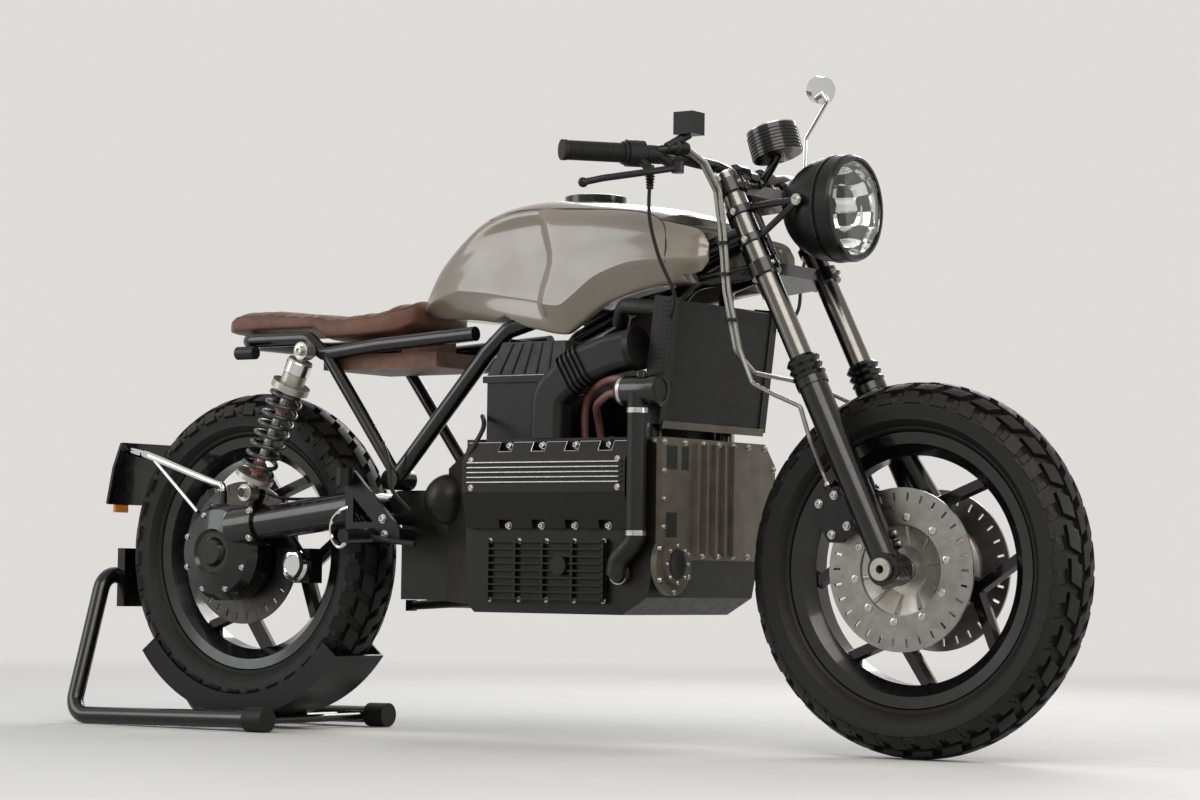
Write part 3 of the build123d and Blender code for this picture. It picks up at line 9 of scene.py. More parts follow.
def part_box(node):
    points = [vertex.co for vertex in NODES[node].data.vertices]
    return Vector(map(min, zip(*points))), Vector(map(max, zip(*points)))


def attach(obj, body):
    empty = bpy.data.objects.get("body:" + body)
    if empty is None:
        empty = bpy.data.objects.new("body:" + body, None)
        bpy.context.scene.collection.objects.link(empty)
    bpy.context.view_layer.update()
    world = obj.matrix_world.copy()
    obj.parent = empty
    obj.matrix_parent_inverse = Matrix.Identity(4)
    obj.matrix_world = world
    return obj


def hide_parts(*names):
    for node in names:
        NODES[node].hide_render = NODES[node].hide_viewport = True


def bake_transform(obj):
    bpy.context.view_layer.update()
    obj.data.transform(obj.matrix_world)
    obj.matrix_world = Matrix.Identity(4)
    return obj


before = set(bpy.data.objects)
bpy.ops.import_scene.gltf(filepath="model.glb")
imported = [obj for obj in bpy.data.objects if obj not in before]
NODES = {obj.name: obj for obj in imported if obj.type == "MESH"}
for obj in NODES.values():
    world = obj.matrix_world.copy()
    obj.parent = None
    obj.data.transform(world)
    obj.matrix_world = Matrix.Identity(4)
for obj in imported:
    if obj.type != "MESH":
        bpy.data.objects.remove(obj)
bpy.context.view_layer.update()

# Shared geometry, the same as in the part: stations are millimetres from mid-wheelbase
MID = 19.5
RAKE = radians(26.3)
FRONT_AXLE = Vector((777.5, 0, 329)) / 1000
REAR_AXLE = Vector((-738.5, 0, 349)) / 1000
LEG_UP = Vector((-sin(RAKE), 0, cos(RAKE)))
LEG_BACK = Vector((-cos(RAKE), 0, -sin(RAKE)))
LEG_Y = 102.5
LEFT = Vector((0, 1, 0))
RIGHT = Vector((0, -1, 0))
FORWARD = Vector((1, 0, 0))
BACK = Vector((-1, 0, 0))
UP = Vector((0, 0, 1))


def at(x, y, z):
    """A chassis point in metres from its station, side and height in millimetres."""
    return Vector((x + MID, y, z)) / 1000


def leg(station, y=0.0, back=0.0):
    """A point on the fork in metres: up the leg from the axle, sideways, behind the leg."""
    return FRONT_AXLE + (LEG_UP * station + LEG_BACK * back + Vector((0, y, 0))) / 1000


# Camera and lights
CAMERA_AT = Vector((3.51941, -4.85741, 0.30572))
CAMERA_FORWARD = Vector((-0.5759196, 0.8155648, 0.0563090))
CAMERA_UP = Vector((0.0212092, -0.0539498, 0.9983184))
camera_data = bpy.data.cameras.new("camera")
camera_data.lens = 95.25
camera_data.sensor_width = 36
camera_data.clip_end = 100
camera = bpy.data.objects.new("camera", camera_data)
right_way = CAMERA_FORWARD.cross(CAMERA_UP).normalized()
up_way = right_way.cross(CAMERA_FORWARD).normalized()
turn = Matrix((right_way, up_way, -CAMERA_FORWARD.normalized())).transposed()
camera.matrix_world = Matrix.Translation(CAMERA_AT) @ turn.to_4x4()
bpy.context.scene.collection.objects.link(camera)
bpy.context.scene.camera = camera
bpy.context.scene.view_settings.view_transform = "Standard"


def lamp(name, where, target, size, power, colour=(1, 1, 1)):
    """One soft rectangular studio light aimed at a point."""
    data = bpy.data.lights.new(name, "AREA")
    data.shape = "RECTANGLE"
    data.size, data.size_y = size
    data.energy = power
    data.color = colour
    light = bpy.data.objects.new(name, data)
    light.location = where
    light.rotation_euler = (Vector(target) - Vector(where)).to_track_quat("-Z", "Y").to_euler()
    bpy.context.scene.collection.objects.link(light)


lamp("key_light", (2.6, -2.8, 3.4), (0, 0, 0.6), (3.6, 2.4), 112, (1, 0.98, 0.95))
lamp("side_light", (-3.2, -3.0, 2.2), (-0.3, 0, 0.5), (2.2, 2.8), 66, (0.96, 0.98, 1))
lamp("back_light", (-1.0, 3.6, 2.8), (0, 0, 0.6), (3.0, 1.4), 90)
lamp("front_light", (4.2, 0.8, 1.6), (0.6, 0, 0.6), (1.2, 1.8), 45)


def rgb(code):
    """Linear colour from a six-digit sRGB code."""
    parts = [int(code[i:i + 2], 16) / 255 for i in (0, 2, 4)]
    return [c / 12.92 if c < 0.04045 else ((c + 0.055) / 1.055) ** 2.4 for c in parts] + [1.0]


def shade(colour, factor):
    return [min(1.0, c * factor) for c in colour[:3]] + [1.0]


class Finish:
    """Builds one procedural material step by step."""

    def __init__(self, name):
        self.material = bpy.data.materials.new(name)
        self.material.use_nodes = True
        self.nodes = self.material.node_tree.nodes
        self.links = self.material.node_tree.links
        self.shader = self.nodes["Principled BSDF"]
        self.place = self.nodes.new("ShaderNodeTexCoord").outputs["Object"]

    def scaled(self, stretch):
        mapping = self.nodes.new("ShaderNodeMapping")
        mapping.inputs["Scale"].default_value = stretch
        self.links.new(self.place, mapping.inputs["Vector"])
        return mapping.outputs["Vector"]

    def noise(self, scale, detail=4, stretch=None):
        texture = self.nodes.new("ShaderNodeTexNoise")
        texture.inputs["Scale"].default_value = scale
        texture.inputs["Detail"].default_value = detail
        source = self.scaled(stretch) if stretch else self.place
        self.links.new(source, texture.inputs["Vector"])
        return texture.outputs["Fac"]

    def cells(self, scale, feature="DISTANCE_TO_EDGE"):
        texture = self.nodes.new("ShaderNodeTexVoronoi")
        texture.feature = feature
        texture.inputs["Scale"].default_value = scale
        self.links.new(self.place, texture.inputs["Vector"])
        return texture.outputs["Distance"]

    def ramp(self, source, stops):
        ramp = self.nodes.new("ShaderNodeValToRGB")
        elements = ramp.color_ramp.elements
        while len(elements) < len(stops):
            elements.new(0.5)
        for element, (place, colour) in zip(elements, stops):
            element.position = place
            element.color = colour
        self.links.new(source, ramp.inputs["Fac"])
        return ramp.outputs["Color"]

    def span(self, source, low, high):
        spread = self.nodes.new("ShaderNodeMapRange")
        spread.inputs["From Min"].default_value = 0.3
        spread.inputs["From Max"].default_value = 0.7
        spread.inputs["To Min"].default_value = low
        spread.inputs["To Max"].default_value = high
        self.links.new(source, spread.inputs["Value"])
        return spread.outputs["Result"]

    def mix(self, factor, one, two):
        node = self.nodes.new("ShaderNodeMix")
        node.data_type = "RGBA"
        self.links.new(factor, node.inputs["Factor"])
        for socket, value in ((node.inputs[6], one), (node.inputs[7], two)):
            if isinstance(value, list):
                socket.default_value = value
            else:
                self.links.new(value, socket)
        return node.outputs[2]

    def bump(self, source, strength, distance=0.001):
        node = self.nodes.new("ShaderNodeBump")
        node.inputs["Strength"].default_value = strength
        node.inputs["Distance"].default_value = distance
        self.links.new(source, node.inputs["Height"])
        if self.shader.inputs["Normal"].is_linked:
            self.links.new(self.shader.inputs["Normal"].links[0].from_socket,
                           node.inputs["Normal"])
        self.links.new(node.outputs["Normal"], self.shader.inputs["Normal"])

    def set(self, **values):
        names = {"metal": "Metallic", "coat": "Coat Weight", "coat_rough": "Coat Roughness",
                 "ior": "IOR", "glass": "Transmission Weight", "sheen": "Sheen Weight",
                 "rough": "Roughness", "specular": "Specular IOR Level"}
        for key, value in values.items():
            self.shader.inputs[names[key]].default_value = value


def plain(name, code, rough, metal=0.0, spread=0.14, scale=14, grain=500, bump=0.12,
          stretch=None, dust=None, rough_spread=0.07, **more):
    """Material with mottled colour, uneven gloss, a fine surface and, if asked, settled dust."""
    f = Finish(name)
    f.set(metal=metal, **more)
    base = rgb(code)
    colour = f.ramp(f.noise(scale, 5, stretch), [(0.3, shade(base, 1 - spread)),
                                                 (0.7, shade(base, 1 + spread))])
    if dust:
        normal = f.nodes.new("ShaderNodeSeparateXYZ")
        geometry = f.nodes.new("ShaderNodeNewGeometry")
        f.links.new(geometry.outputs["Normal"], normal.inputs[0])
        lies = f.nodes.new("ShaderNodeMath")
        lies.operation = "MULTIPLY"
        f.links.new(f.span(normal.outputs["Z"], 0.03, 0.4), lies.inputs[0])
        f.links.new(f.span(f.noise(22, 6), 0.2, 1.0), lies.inputs[1])
        colour = f.mix(lies.outputs[0], colour, rgb(dust))
    f.links.new(colour, f.shader.inputs["Base Color"])
    f.links.new(f.span(f.noise(scale * 4, 6, stretch), max(0.02, rough - rough_spread),
                       rough + rough_spread), f.shader.inputs["Roughness"])
    f.bump(f.noise(grain, 3, stretch), bump, 0.0004)
    return f.material


def leather(name, code):
    """Tanned leather: fine pebbled grain, creases and rubbed, lighter high spots."""
    f = Finish(name)
    f.set(sheen=0.03, specular=0.4)
    base = rgb(code)
    mottled = f.ramp(f.noise(18, 6), [(0.32, shade(base, 0.72)), (0.52, base),
                                      (0.72, shade(base, 1.32))])
    pores = f.ramp(f.cells(620), [(0.0, [0.15] * 3 + [1]), (0.12, [0.0] * 3 + [1])])
    f.links.new(f.mix(pores, mottled, shade(base, 0.45)), f.shader.inputs["Base Color"])
    f.links.new(f.span(f.noise(60, 5), 0.42, 0.62), f.shader.inputs["Roughness"])
    f.bump(f.cells(620), 0.55, 0.0006)
    f.bump(f.noise(90, 6), 0.35, 0.0016)
    return f.material


def braid(name):
    """Clear-covered woven steel hose."""
    f = Finish(name)
    f.set(metal=0.7, coat=0.5)
    wave = f.nodes.new("ShaderNodeTexWave")
    wave.bands_direction = "DIAGONAL"
    wave.inputs["Scale"].default_value = 260
    wave.inputs["Distortion"].default_value = 1.5
    f.links.new(f.place, wave.inputs["Vector"])
    f.links.new(f.ramp(wave.outputs["Fac"], [(0.2, rgb("4b4a47")), (0.8, rgb("a7a49c"))]),
                f.shader.inputs["Base Color"])
    f.links.new(f.span(f.noise(80), 0.28, 0.45), f.shader.inputs["Roughness"])
    f.bump(wave.outputs["Fac"], 0.4, 0.0004)
    return f.material


def clear(name):
    """Slightly uneven clear glass."""
    f = Finish(name)
    f.set(glass=1.0, ior=1.45, rough=0.02)
    f.links.new(f.ramp(f.noise(30), [(0.2, rgb("f4f6f6")), (0.8, rgb("ffffff"))]),
                f.shader.inputs["Base Color"])
    f.bump(f.noise(24, 2), 0.05, 0.0005)
    return f.material


PAINT = plain("paint_taupe", "756c5e", 0.36, spread=0.03, scale=5, grain=900, bump=0.02,
              coat=0.8, coat_rough=0.11)
GLOSS_BLACK = plain("gloss_black", "070708", 0.26, spread=0.2, grain=260, bump=0.03,
                    coat=0.4, coat_rough=0.07, specular=0.3)
WHEEL_BLACK = plain("wheel_black", "060607", 0.24, spread=0.25, grain=300, bump=0.03,
                    coat=0.45, coat_rough=0.07, specular=0.3)
SATIN_BLACK = plain("satin_black", "0d0d0e", 0.38, spread=0.2, grain=500, bump=0.12, specular=0.3)
ENGINE_BLACK = plain("engine_black", "0e0d0c", 0.38, spread=0.3, grain=420, bump=0.3,
                     dust="26231e", specular=0.28)
PLASTIC = plain("moulded_black", "0e0e0e", 0.40, spread=0.2, grain=900, bump=0.2,
                dust="1c1a17", specular=0.28)
TAUPE_CAST = plain("dusty_casting", "575047", 0.50, metal=0.25, spread=0.25, scale=24,
                   grain=380, bump=0.5, dust="6d6455")
RUBBER = plain("tyre_rubber", "100f0f", 0.55, spread=0.25, scale=30, grain=700, bump=0.3,
               dust="211f1c", specular=0.3)
HOSE_RUBBER = plain("hose_rubber", "0d0d0d", 0.46, spread=0.2, grain=600, bump=0.2, specular=0.35)
PINK_HOSE = plain("brown_hose", "6a443d", 0.5, spread=0.2, grain=400, bump=0.2)
DISC_STEEL = plain("disc_steel", "8c8a86", 0.34, metal=1.0, spread=0.14, scale=50,
                   grain=1400, bump=0.25)
STANCHION = plain("brushed_dark_steel", "6b6864", 0.22, metal=1.0, spread=0.08, scale=90,
                  grain=900, bump=0.04, rough_spread=0.03)
SILVER = plain("cast_silver", "a8a49c", 0.38, metal=0.85, spread=0.14, scale=40, grain=600,
               bump=0.25, dust="8a8377")
ZINC = plain("bolt_zinc", "b7b4ae", 0.30, metal=1.0, spread=0.2, scale=120, grain=900,
             bump=0.15)
# Bright metal: the engine covers' machined edges, and a painted highlight on the airbox lid's edge
EDGE_METAL_AND_HIGHLIGHT = plain("machined_edge_and_painted_highlight", "c4c3c0", 0.28, metal=1.0, spread=0.1, scale=80,
                   grain=1200, bump=0.15)
HEADER_STEEL = plain("heated_steel", "82776a", 0.34, metal=1.0, spread=0.35, scale=9,
                     grain=500, bump=0.15)
CHROME = plain("chrome", "d4d5d6", 0.07, metal=1.0, spread=0.05, grain=300, bump=0.02,
               rough_spread=0.03)
MIRROR = plain("reflector_bright", "e8eaec", 0.08, metal=1.0, spread=0.04, grain=200,
               bump=0.02, rough_spread=0.03)
SPRING_BLACK = plain("spring_black", "1b1b1c", 0.3, spread=0.2, grain=300, bump=0.06,
                     coat=0.6, coat_rough=0.1)
LEATHER = leather("brown_leather", "63402f")
BRAID = braid("steel_braid")
GLASS = clear("clear_glass")
AMBER = plain("amber_plastic", "c47a1c", 0.25, spread=0.1, grain=500, bump=0.1, coat=0.5)
PINK_RUBBER = plain("orange_bush", "8f4a38", 0.5, spread=0.15, grain=500, bump=0.15)
DARK_STEEL = plain("drilled_disc_steel", "4c4a47", 0.4, metal=1.0, spread=0.2, scale=60,
                   grain=1200, bump=0.25)
# Near-black: the gauge's own dark face, and painted shade on the tank crease and in the timing
# chest's recesses
DARK_FACE_AND_SHADE = plain("dark_face_and_painted_shade", "060606", 0.6, spread=0.2, grain=400, bump=0.1)

NODE_FINISH = {
    PAINT: ["fuel_tank"],
    GLOSS_BLACK: ["main_frame", "tail_frame", "stand_frame", "handlebar", "gauge",
                  "headlight_bracket", "triple_clamps", "fork_sliders", "plate_bracket",
                  "filler_cap", "swingarm", "final_drive"],
    WHEEL_BLACK: ["front_rim", "rear_rim"],
    SATIN_BLACK: ["headlight_bucket", "brake_control", "clutch_control", "front_calipers",
                  "muffler", "side_stand", "footrest_left", "footrest_right", "stand_cradle",
                  "rear_caliper", "rear_indicators"],
    ENGINE_BLACK: ["engine_block", "crank_cover", "cylinder_head", "sump_cover", "gearbox"],
    PLASTIC: ["airbox", "intake_duct", "radiator"],
    TAUPE_CAST: ["timing_cover"],
    RUBBER: ["front_tyre", "rear_tyre", "grips", "stand_feet"],
    HOSE_RUBBER: ["coolant_pipes"],
    DISC_STEEL: ["front_discs"],
    DARK_STEEL: ["rear_disc"],
    STANCHION: ["fork_stanchions"],
    SILVER: ["disc_carriers", "front_axle", "throttle_bodies",
             "shock_absorber"],
    HEADER_STEEL: ["exhaust_headers"],
    CHROME: ["mirror"],
    SPRING_BLACK: ["shock_spring"],
    LEATHER: ["seat_cushion", "seat_pan"],
    BRAID: ["brake_hoses"],
    GLASS: ["headlight_lens"],
}
for finish, names in NODE_FINISH.items():
    for name in names:
        node = NODES[name]
        if not node.material_slots:
            node.data.materials.append(finish)
        for node_slot in node.material_slots:
            node_slot.material = finish


def square_to(axis):
    """Two unit vectors across an axis."""
    axis = axis.normalized()
    helper = UP if abs(axis.z) < 0.9 else FORWARD
    one = axis.cross(helper).normalized()
    return one, axis.cross(one).normalized()


class Shape:
    """Collects faces for one piece."""

    def __init__(self):
        self.points, self.faces = [], []

    def grid(self, rows, close_rows=False, close_columns=False):
        """Quads over a table of points; rows may join up end to end, columns too."""
        base = len(self.points)
        count, width = len(rows), len(rows[0])
        for row in rows:
            self.points += [tuple(p) for p in row]
        for i in range(count if close_rows else count - 1):
            for j in range(width if close_columns else width - 1):
                a, b = i * width + j, i * width + (j + 1) % width
                c, d = ((i + 1) % count) * width + (j + 1) % width, ((i + 1) % count) * width + j
                self.faces.append((base + a, base + b, base + c, base + d))

    def fan(self, ring):
        base = len(self.points)
        self.points += [tuple(p) for p in ring]
        self.faces.append(tuple(range(base, base + len(ring))))

    def lathe(self, origin, axis, profile, count=16, caps=True):
        """Turned form: profile is (radius, height) pairs in millimetres along the axis."""
        one, two = square_to(axis)
        axis = axis.normalized()
        rows = []
        for radius, height in profile:
            rows.append([origin + (axis * height + (one * cos(2 * pi * k / count)
                                                    + two * sin(2 * pi * k / count)) * radius)
                         / 1000 for k in range(count)])
        self.grid(rows, close_columns=True)
        if caps:
            self.fan(rows[0])
            self.fan(rows[-1])

    def tube(self, path, radius, count=8):
        """Round bar along points in metres; radius in millimetres."""
        rows = []
        one = None
        for i, p in enumerate(path):
            way = (path[min(i + 1, len(path) - 1)] - path[max(i - 1, 0)]).normalized()
            if one is None:
                one = square_to(way)[0]
            one = (one - way * one.dot(way)).normalized()
            two = way.cross(one)
            rows.append([p + (one * cos(2 * pi * k / count) + two * sin(2 * pi * k / count))
                         * radius / 1000 for k in range(count)])
        self.grid(rows, close_columns=True)
        self.fan(rows[0])
        self.fan(rows[-1])

    def slab(self, centre, x_way, y_way, size, chamfer=0.8):
        """Box with chamfered top edges: size is along x, along y and in height, millimetres."""
        x_way, y_way = x_way.normalized(), y_way.normalized()
        z_way = x_way.cross(y_way)
        a, b, h = size[0] / 2, size[1] / 2, size[2]
        rows = []
        for ring_a, ring_b, z in ((a, b, 0), (a, b, h - chamfer), (a - chamfer, b - chamfer, h)):
            rows.append([centre + (x_way * sx * ring_a + y_way * sy * ring_b + z_way * z) / 1000
                         for sx, sy in ((1, 1), (-1, 1), (-1, -1), (1, -1))])
        self.grid(rows, close_columns=True)
        self.fan(rows[0])
        self.fan(rows[-1])

    def bolt(self, where, way, radius=5.0, height=4.0):
        """Socket screw on a washer."""
        self.lathe(where, way, [(radius * 1.35, -0.6), (radius * 1.35, 0.9), (radius, 0.9),
                                (radius, height - 0.8), (radius * 0.85, height),
                                (radius * 0.5, height), (radius * 0.46, height * 0.45)], 12)

    def piece(self, name, body, finish, angle=32):
        mesh = bpy.data.meshes.new(name)
        mesh.from_pydata(self.points, [], self.faces)
        mesh.validate()
        clean(mesh)
        mesh.shade_smooth()
        mesh.set_sharp_from_angle(angle=radians(angle))
        item = bpy.data.objects.new(name, mesh)
        item.data.materials.append(finish)
        bpy.context.scene.collection.objects.link(item)
        if body:
            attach(item, body)
        return item


def clean(mesh):
    """Merges doubled points and turns all faces outwards."""
    work = bmesh.new()
    work.from_mesh(mesh)
    bmesh.ops.remove_doubles(work, verts=work.verts, dist=1e-6)
    bmesh.ops.recalc_face_normals(work, faces=work.faces)
    work.to_mesh(mesh)
    work.free()


# Floor and backdrop
BACKDROP = rgb("dedcd8")
FLOOR_REACH = 30
FADE_FROM, FADE_TO = 1.8, 6.0    # metres from the middle of the floor
SKY_COLOUR = (0.9, 0.95, 1.0, 1)
SKY_STRENGTH = 0.42


def fade_to_backdrop(material):
    """Turns the floor into the backdrop's plain colour with distance."""
    tree = material.node_tree
    measure = tree.nodes.new("ShaderNodeVectorMath")
    measure.operation = "LENGTH"
    tree.links.new(tree.nodes["Texture Coordinate"].outputs["Object"], measure.inputs[0])
    far = tree.nodes.new("ShaderNodeMapRange")
    far.interpolation_type = "SMOOTHSTEP"
    far.inputs["From Min"].default_value = FADE_FROM
    far.inputs["From Max"].default_value = FADE_TO
    tree.links.new(measure.outputs["Value"], far.inputs["Value"])
    glow = tree.nodes.new("ShaderNodeEmission")
    glow.inputs["Color"].default_value = BACKDROP
    fade = tree.nodes.new("ShaderNodeMixShader")
    tree.links.new(far.outputs["Result"], fade.inputs[0])
    tree.links.new(tree.nodes["Principled BSDF"].outputs[0], fade.inputs[1])
    tree.links.new(glow.outputs[0], fade.inputs[2])
    tree.links.new(fade.outputs[0], tree.nodes["Material Output"].inputs["Surface"])


def studio_world():
    """A soft sky lights the object; camera, gloss and glass see the backdrop's colour."""
    world = bpy.data.worlds.new("studio")
    world.use_nodes = True
    bpy.context.scene.world = world
    tree = world.node_tree
    tree.nodes.clear()
    output = tree.nodes.new("ShaderNodeOutputWorld")
    paths = tree.nodes.new("ShaderNodeLightPath")
    seen = tree.nodes.new("ShaderNodeBackground")
    seen.inputs["Color"].default_value = BACKDROP
    seen.inputs["Strength"].default_value = 1.0
    sky = tree.nodes.new("ShaderNodeBackground")
    sky.inputs["Color"].default_value = SKY_COLOUR
    sky.inputs["Strength"].default_value = SKY_STRENGTH
    either_sky = tree.nodes.new("ShaderNodeMixShader")
    shown = paths.outputs["Is Camera Ray"]
    for ray in ("Is Glossy Ray", "Is Transmission Ray"):
        either = tree.nodes.new("ShaderNodeMath")
        either.operation = "MAXIMUM"
        tree.links.new(shown, either.inputs[0])
        tree.links.new(paths.outputs[ray], either.inputs[1])
        shown = either.outputs[0]
    tree.links.new(shown, either_sky.inputs[0])
    tree.links.new(sky.outputs[0], either_sky.inputs[1])
    tree.links.new(seen.outputs[0], either_sky.inputs[2])
    tree.links.new(either_sky.outputs[0], output.inputs["Surface"])


floor = Shape()
floor.grid([[Vector((-FLOOR_REACH, -FLOOR_REACH, 0)), Vector((FLOOR_REACH, -FLOOR_REACH, 0))],
            [Vector((-FLOOR_REACH, FLOOR_REACH, 0)), Vector((FLOOR_REACH, FLOOR_REACH, 0))]])
FLOOR = plain("pale_floor", "d9d7d3", 0.8, spread=0.015, scale=3, grain=200, bump=0.02)
floor.piece("floor", None, FLOOR)
fade_to_backdrop(FLOOR)
studio_world()


def smooth_path(points, steps=10):
    """Evenly curved line through given points."""
    path = []
    for i in range(len(points) - 1):
        p0 = points[max(i - 1, 0)]
        p1, p2 = points[i], points[i + 1]
        p3 = points[min(i + 2, len(points) - 1)]
        for k in range(steps):
            t = k / steps
            path.append(0.5 * ((2 * p1) + (p2 - p0) * t + (2 * p0 - 5 * p1 + 4 * p2 - p3) * t ** 2
                               + (3 * p1 - p0 - 3 * p2 + p3) * t ** 3))
    return path + [points[-1]]


# Tyres: carcass with plain side rings, and a chunky block tread
CROWN = 30
TREAD_DEPTH = 10
PITCHES = 34
# angle from the middle of the tread: low, high, offset and length in pitches, skew in pitches
TREAD_ROWS = [
    (-14, 0.5, 0.00, 0.74, 0.20), (-0.5, 14, 0.50, 0.74, 0.20),
    (18.5, 37, 0.20, 0.70, -0.20), (-37, -18.5, 0.70, 0.70, -0.20),
    (42, 64, 0.46, 0.56, 0.12), (-64, -42, 0.96, 0.56, 0.12),
    (46, 60, 0.08, 0.20, 0.04), (-60, -46, 0.58, 0.20, 0.04),
]


def tyre(name, node, centre, radius, width, rim_radius, rim_half, body):
    """A whole tyre for one wheel, in millimetres round its axle."""
    half = width / 2
    reach = half - 3
    sweep = (reach ** 2 + CROWN ** 2) / (2 * CROWN)
    tread_angle = atan2(reach, sweep - CROWN)

    def over(angle, lift, turn_angle):
        r = radius - sweep + (sweep + lift) * cos(angle)
        return centre + Vector((r * cos(turn_angle), (sweep + lift) * sin(angle),
                                r * sin(turn_angle))) / 1000

    profile = []
    steps = 14
    for i in range(steps + 1):
        angle = tread_angle * (1 - i / steps)
        edge = min(1.0, 4.0 * i / steps)
        drop = TREAD_DEPTH * edge
        profile.append((radius - sweep + (sweep - drop) * cos(angle), (sweep - drop) * sin(angle)))
    wall = [(rim_radius - 13, rim_half - 8), (rim_radius + 0.8, rim_half - 7.6),
            (rim_radius + 3, rim_half + 2), (rim_radius + 7, rim_half + 5.4),
            (rim_radius + 9, rim_half + 5.4), (rim_radius + 12, rim_half + 9.5),
            (rim_radius + 20, half - 4.6), (rim_radius + 22, half - 3.2),
            (rim_radius + 25, half - 3.4), (rim_radius + 36, half - 0.4),
            (rim_radius + 48, half + 0.2), (rim_radius + 50, half - 1.2),
            (rim_radius + 55, half - 1.4)]
    inner = [(radius - 24, 0), (radius - 44, half - 14), (rim_radius + 14, rim_half - 8),
             (rim_radius - 13, rim_half - 20)]
    left_side = wall + profile
    loop = left_side + [(r, -y) for r, y in reversed(left_side[:-1])]
    loop += [(r, -y) for r, y in reversed(inner[1:])] + [(r, y) for r, y in inner]
    carcass = Shape()
    count = 160
    rows = []
    for k in range(count):
        a = 2 * pi * k / count
        rows.append([centre + Vector((r * cos(a), y, r * sin(a))) / 1000 for r, y in loop])
    carcass.grid(rows, close_rows=True, close_columns=True)
    pitch = 2 * pi / PITCHES
    for low, high, offset, length, skew in TREAD_ROWS:
        for k in range(PITCHES):
            start = (k + offset) * pitch
            top, foot = [], []
            for i in range(4):
                f = i / 3
                lean = skew * pitch * f
                for out, drop, shrink in ((top, 0, 0.03), (foot, -TREAD_DEPTH - 1, 0)):
                    angle = radians(low + (high - low) * (shrink + (1 - 2 * shrink) * f))
                    out.append([over(angle, drop, start + lean
                                     + length * pitch * (shrink + (1 - 2 * shrink) * j / 4))
                                for j in range(5)])
            carcass.grid(top)
            rim_top = (top[0] + [row[-1] for row in top[1:]] + top[-1][-2::-1]
                       + [row[0] for row in top[-2:0:-1]])
            rim_foot = (foot[0] + [row[-1] for row in foot[1:]] + foot[-1][-2::-1]
                        + [row[0] for row in foot[-2:0:-1]])
            carcass.grid([rim_top, rim_foot], close_columns=True)
    item = carcass.piece(name, body, RUBBER, 30)
    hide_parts(node)


tyre("front_tyre_tread", "front_tyre", FRONT_AXLE, 329, 121, 240, 38, "front_wheel")
tyre("rear_tyre_tread", "rear_tyre", REAR_AXLE, 322, 132, 233, 44, "rear_wheel")

# Seat: a padded leather pad with cross channels, thicker where it climbs to the tank
SEAT_TOP = [(-792, 812), (-770, 826), (-730, 829), (-673, 828), (-568, 818), (-490, 812),
            (-415, 817), (-340, 834), (-304, 842)]
SEAT_FOOT = [(-792, 785), (-544, 786), (-505, 764), (-366, 769), (-304, 786)]
SEAT_HALF = [(-792, 70), (-778, 92), (-750, 108), (-700, 115), (-560, 116), (-460, 114),
             (-380, 104), (-304, 88)]
SEAT_REAR, SEAT_FRONT = SEAT_TOP[0][0], SEAT_TOP[-1][0]
SEAT_STATIONS = 170
SEAT_ROUND = 72
REAR_ROUNDING, FRONT_ROUNDING = 26, 16
CHANNELS = (-752, -344)
CHANNEL_PITCH = 34
CHANNEL_DEPTH = 8.0
CHANNEL_PUFF = 3.4
SIDE_CREASE = 4.5


def along(table, x):
    """Value at a station from (station, value) pairs."""
    for (x0, v0), (x1, v1) in zip(table, table[1:]):
        if x <= x1:
            f = max(0.0, (x - x0) / (x1 - x0))
            f = f * f * (3 - 2 * f) if v0 != v1 else f
            return v0 + (v1 - v0) * f
    return table[-1][1]


seat = Shape()
seat_rows = []
for i in range(SEAT_STATIONS + 1):
    f = i / SEAT_STATIONS
    x = SEAT_REAR + (SEAT_FRONT - SEAT_REAR) * f
    rear = min(1, (x - SEAT_REAR) / REAR_ROUNDING)
    front = min(1, (SEAT_FRONT - x) / FRONT_ROUNDING)
    end = min(1.0, sqrt(max(0.0, 1 - (1 - rear) ** 2)) + 0.02,
              sqrt(max(0.0, 1 - (1 - front) ** 2)) + 0.02)
    top, foot, half = along(SEAT_TOP, x), along(SEAT_FOOT, x), along(SEAT_HALF, x)
    middle = foot + (top - foot) * 0.35
    row = []
    for k in range(SEAT_ROUND):
        a = 2 * pi * k / SEAT_ROUND
        c, s = cos(a), sin(a)
        y = half * (abs(c) ** 0.62) * (1 if c >= 0 else -1)
        rise = (top - middle) if s >= 0 else (middle - foot)
        z = middle + rise * (abs(s) ** (0.55 if s >= 0 else 0.4)) * (1 if s >= 0 else -1) * end
        y *= 0.55 + 0.45 * end
        if s > 0.05:
            phase = ((x - CHANNELS[0]) / CHANNEL_PITCH) % 1.0
            near = min(phase, 1 - phase)
            inside = CHANNELS[0] - 4 < x < CHANNELS[1] + 4
            fade = max(0.0, 1 - (abs(y) / (half * 0.93)) ** 6)
            if inside:
                z -= CHANNEL_DEPTH * max(0.0, 1 - near / 0.2) ** 2 * fade
                z += CHANNEL_PUFF * sin(pi * phase) * fade
        inward = SIDE_CREASE if c > 0 else -SIDE_CREASE
        y -= inward * max(0.0, 1 - abs(s - 0.42) / 0.16) ** 2 * end
        row.append(at(x, y, z))
    seat_rows.append(row)
seat.grid(seat_rows, close_columns=True)
seat.fan(seat_rows[0])
seat.fan(seat_rows[-1])
seat_pad = seat.piece("seat_leather", "chassis", LEATHER, 60)
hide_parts("seat_cushion")

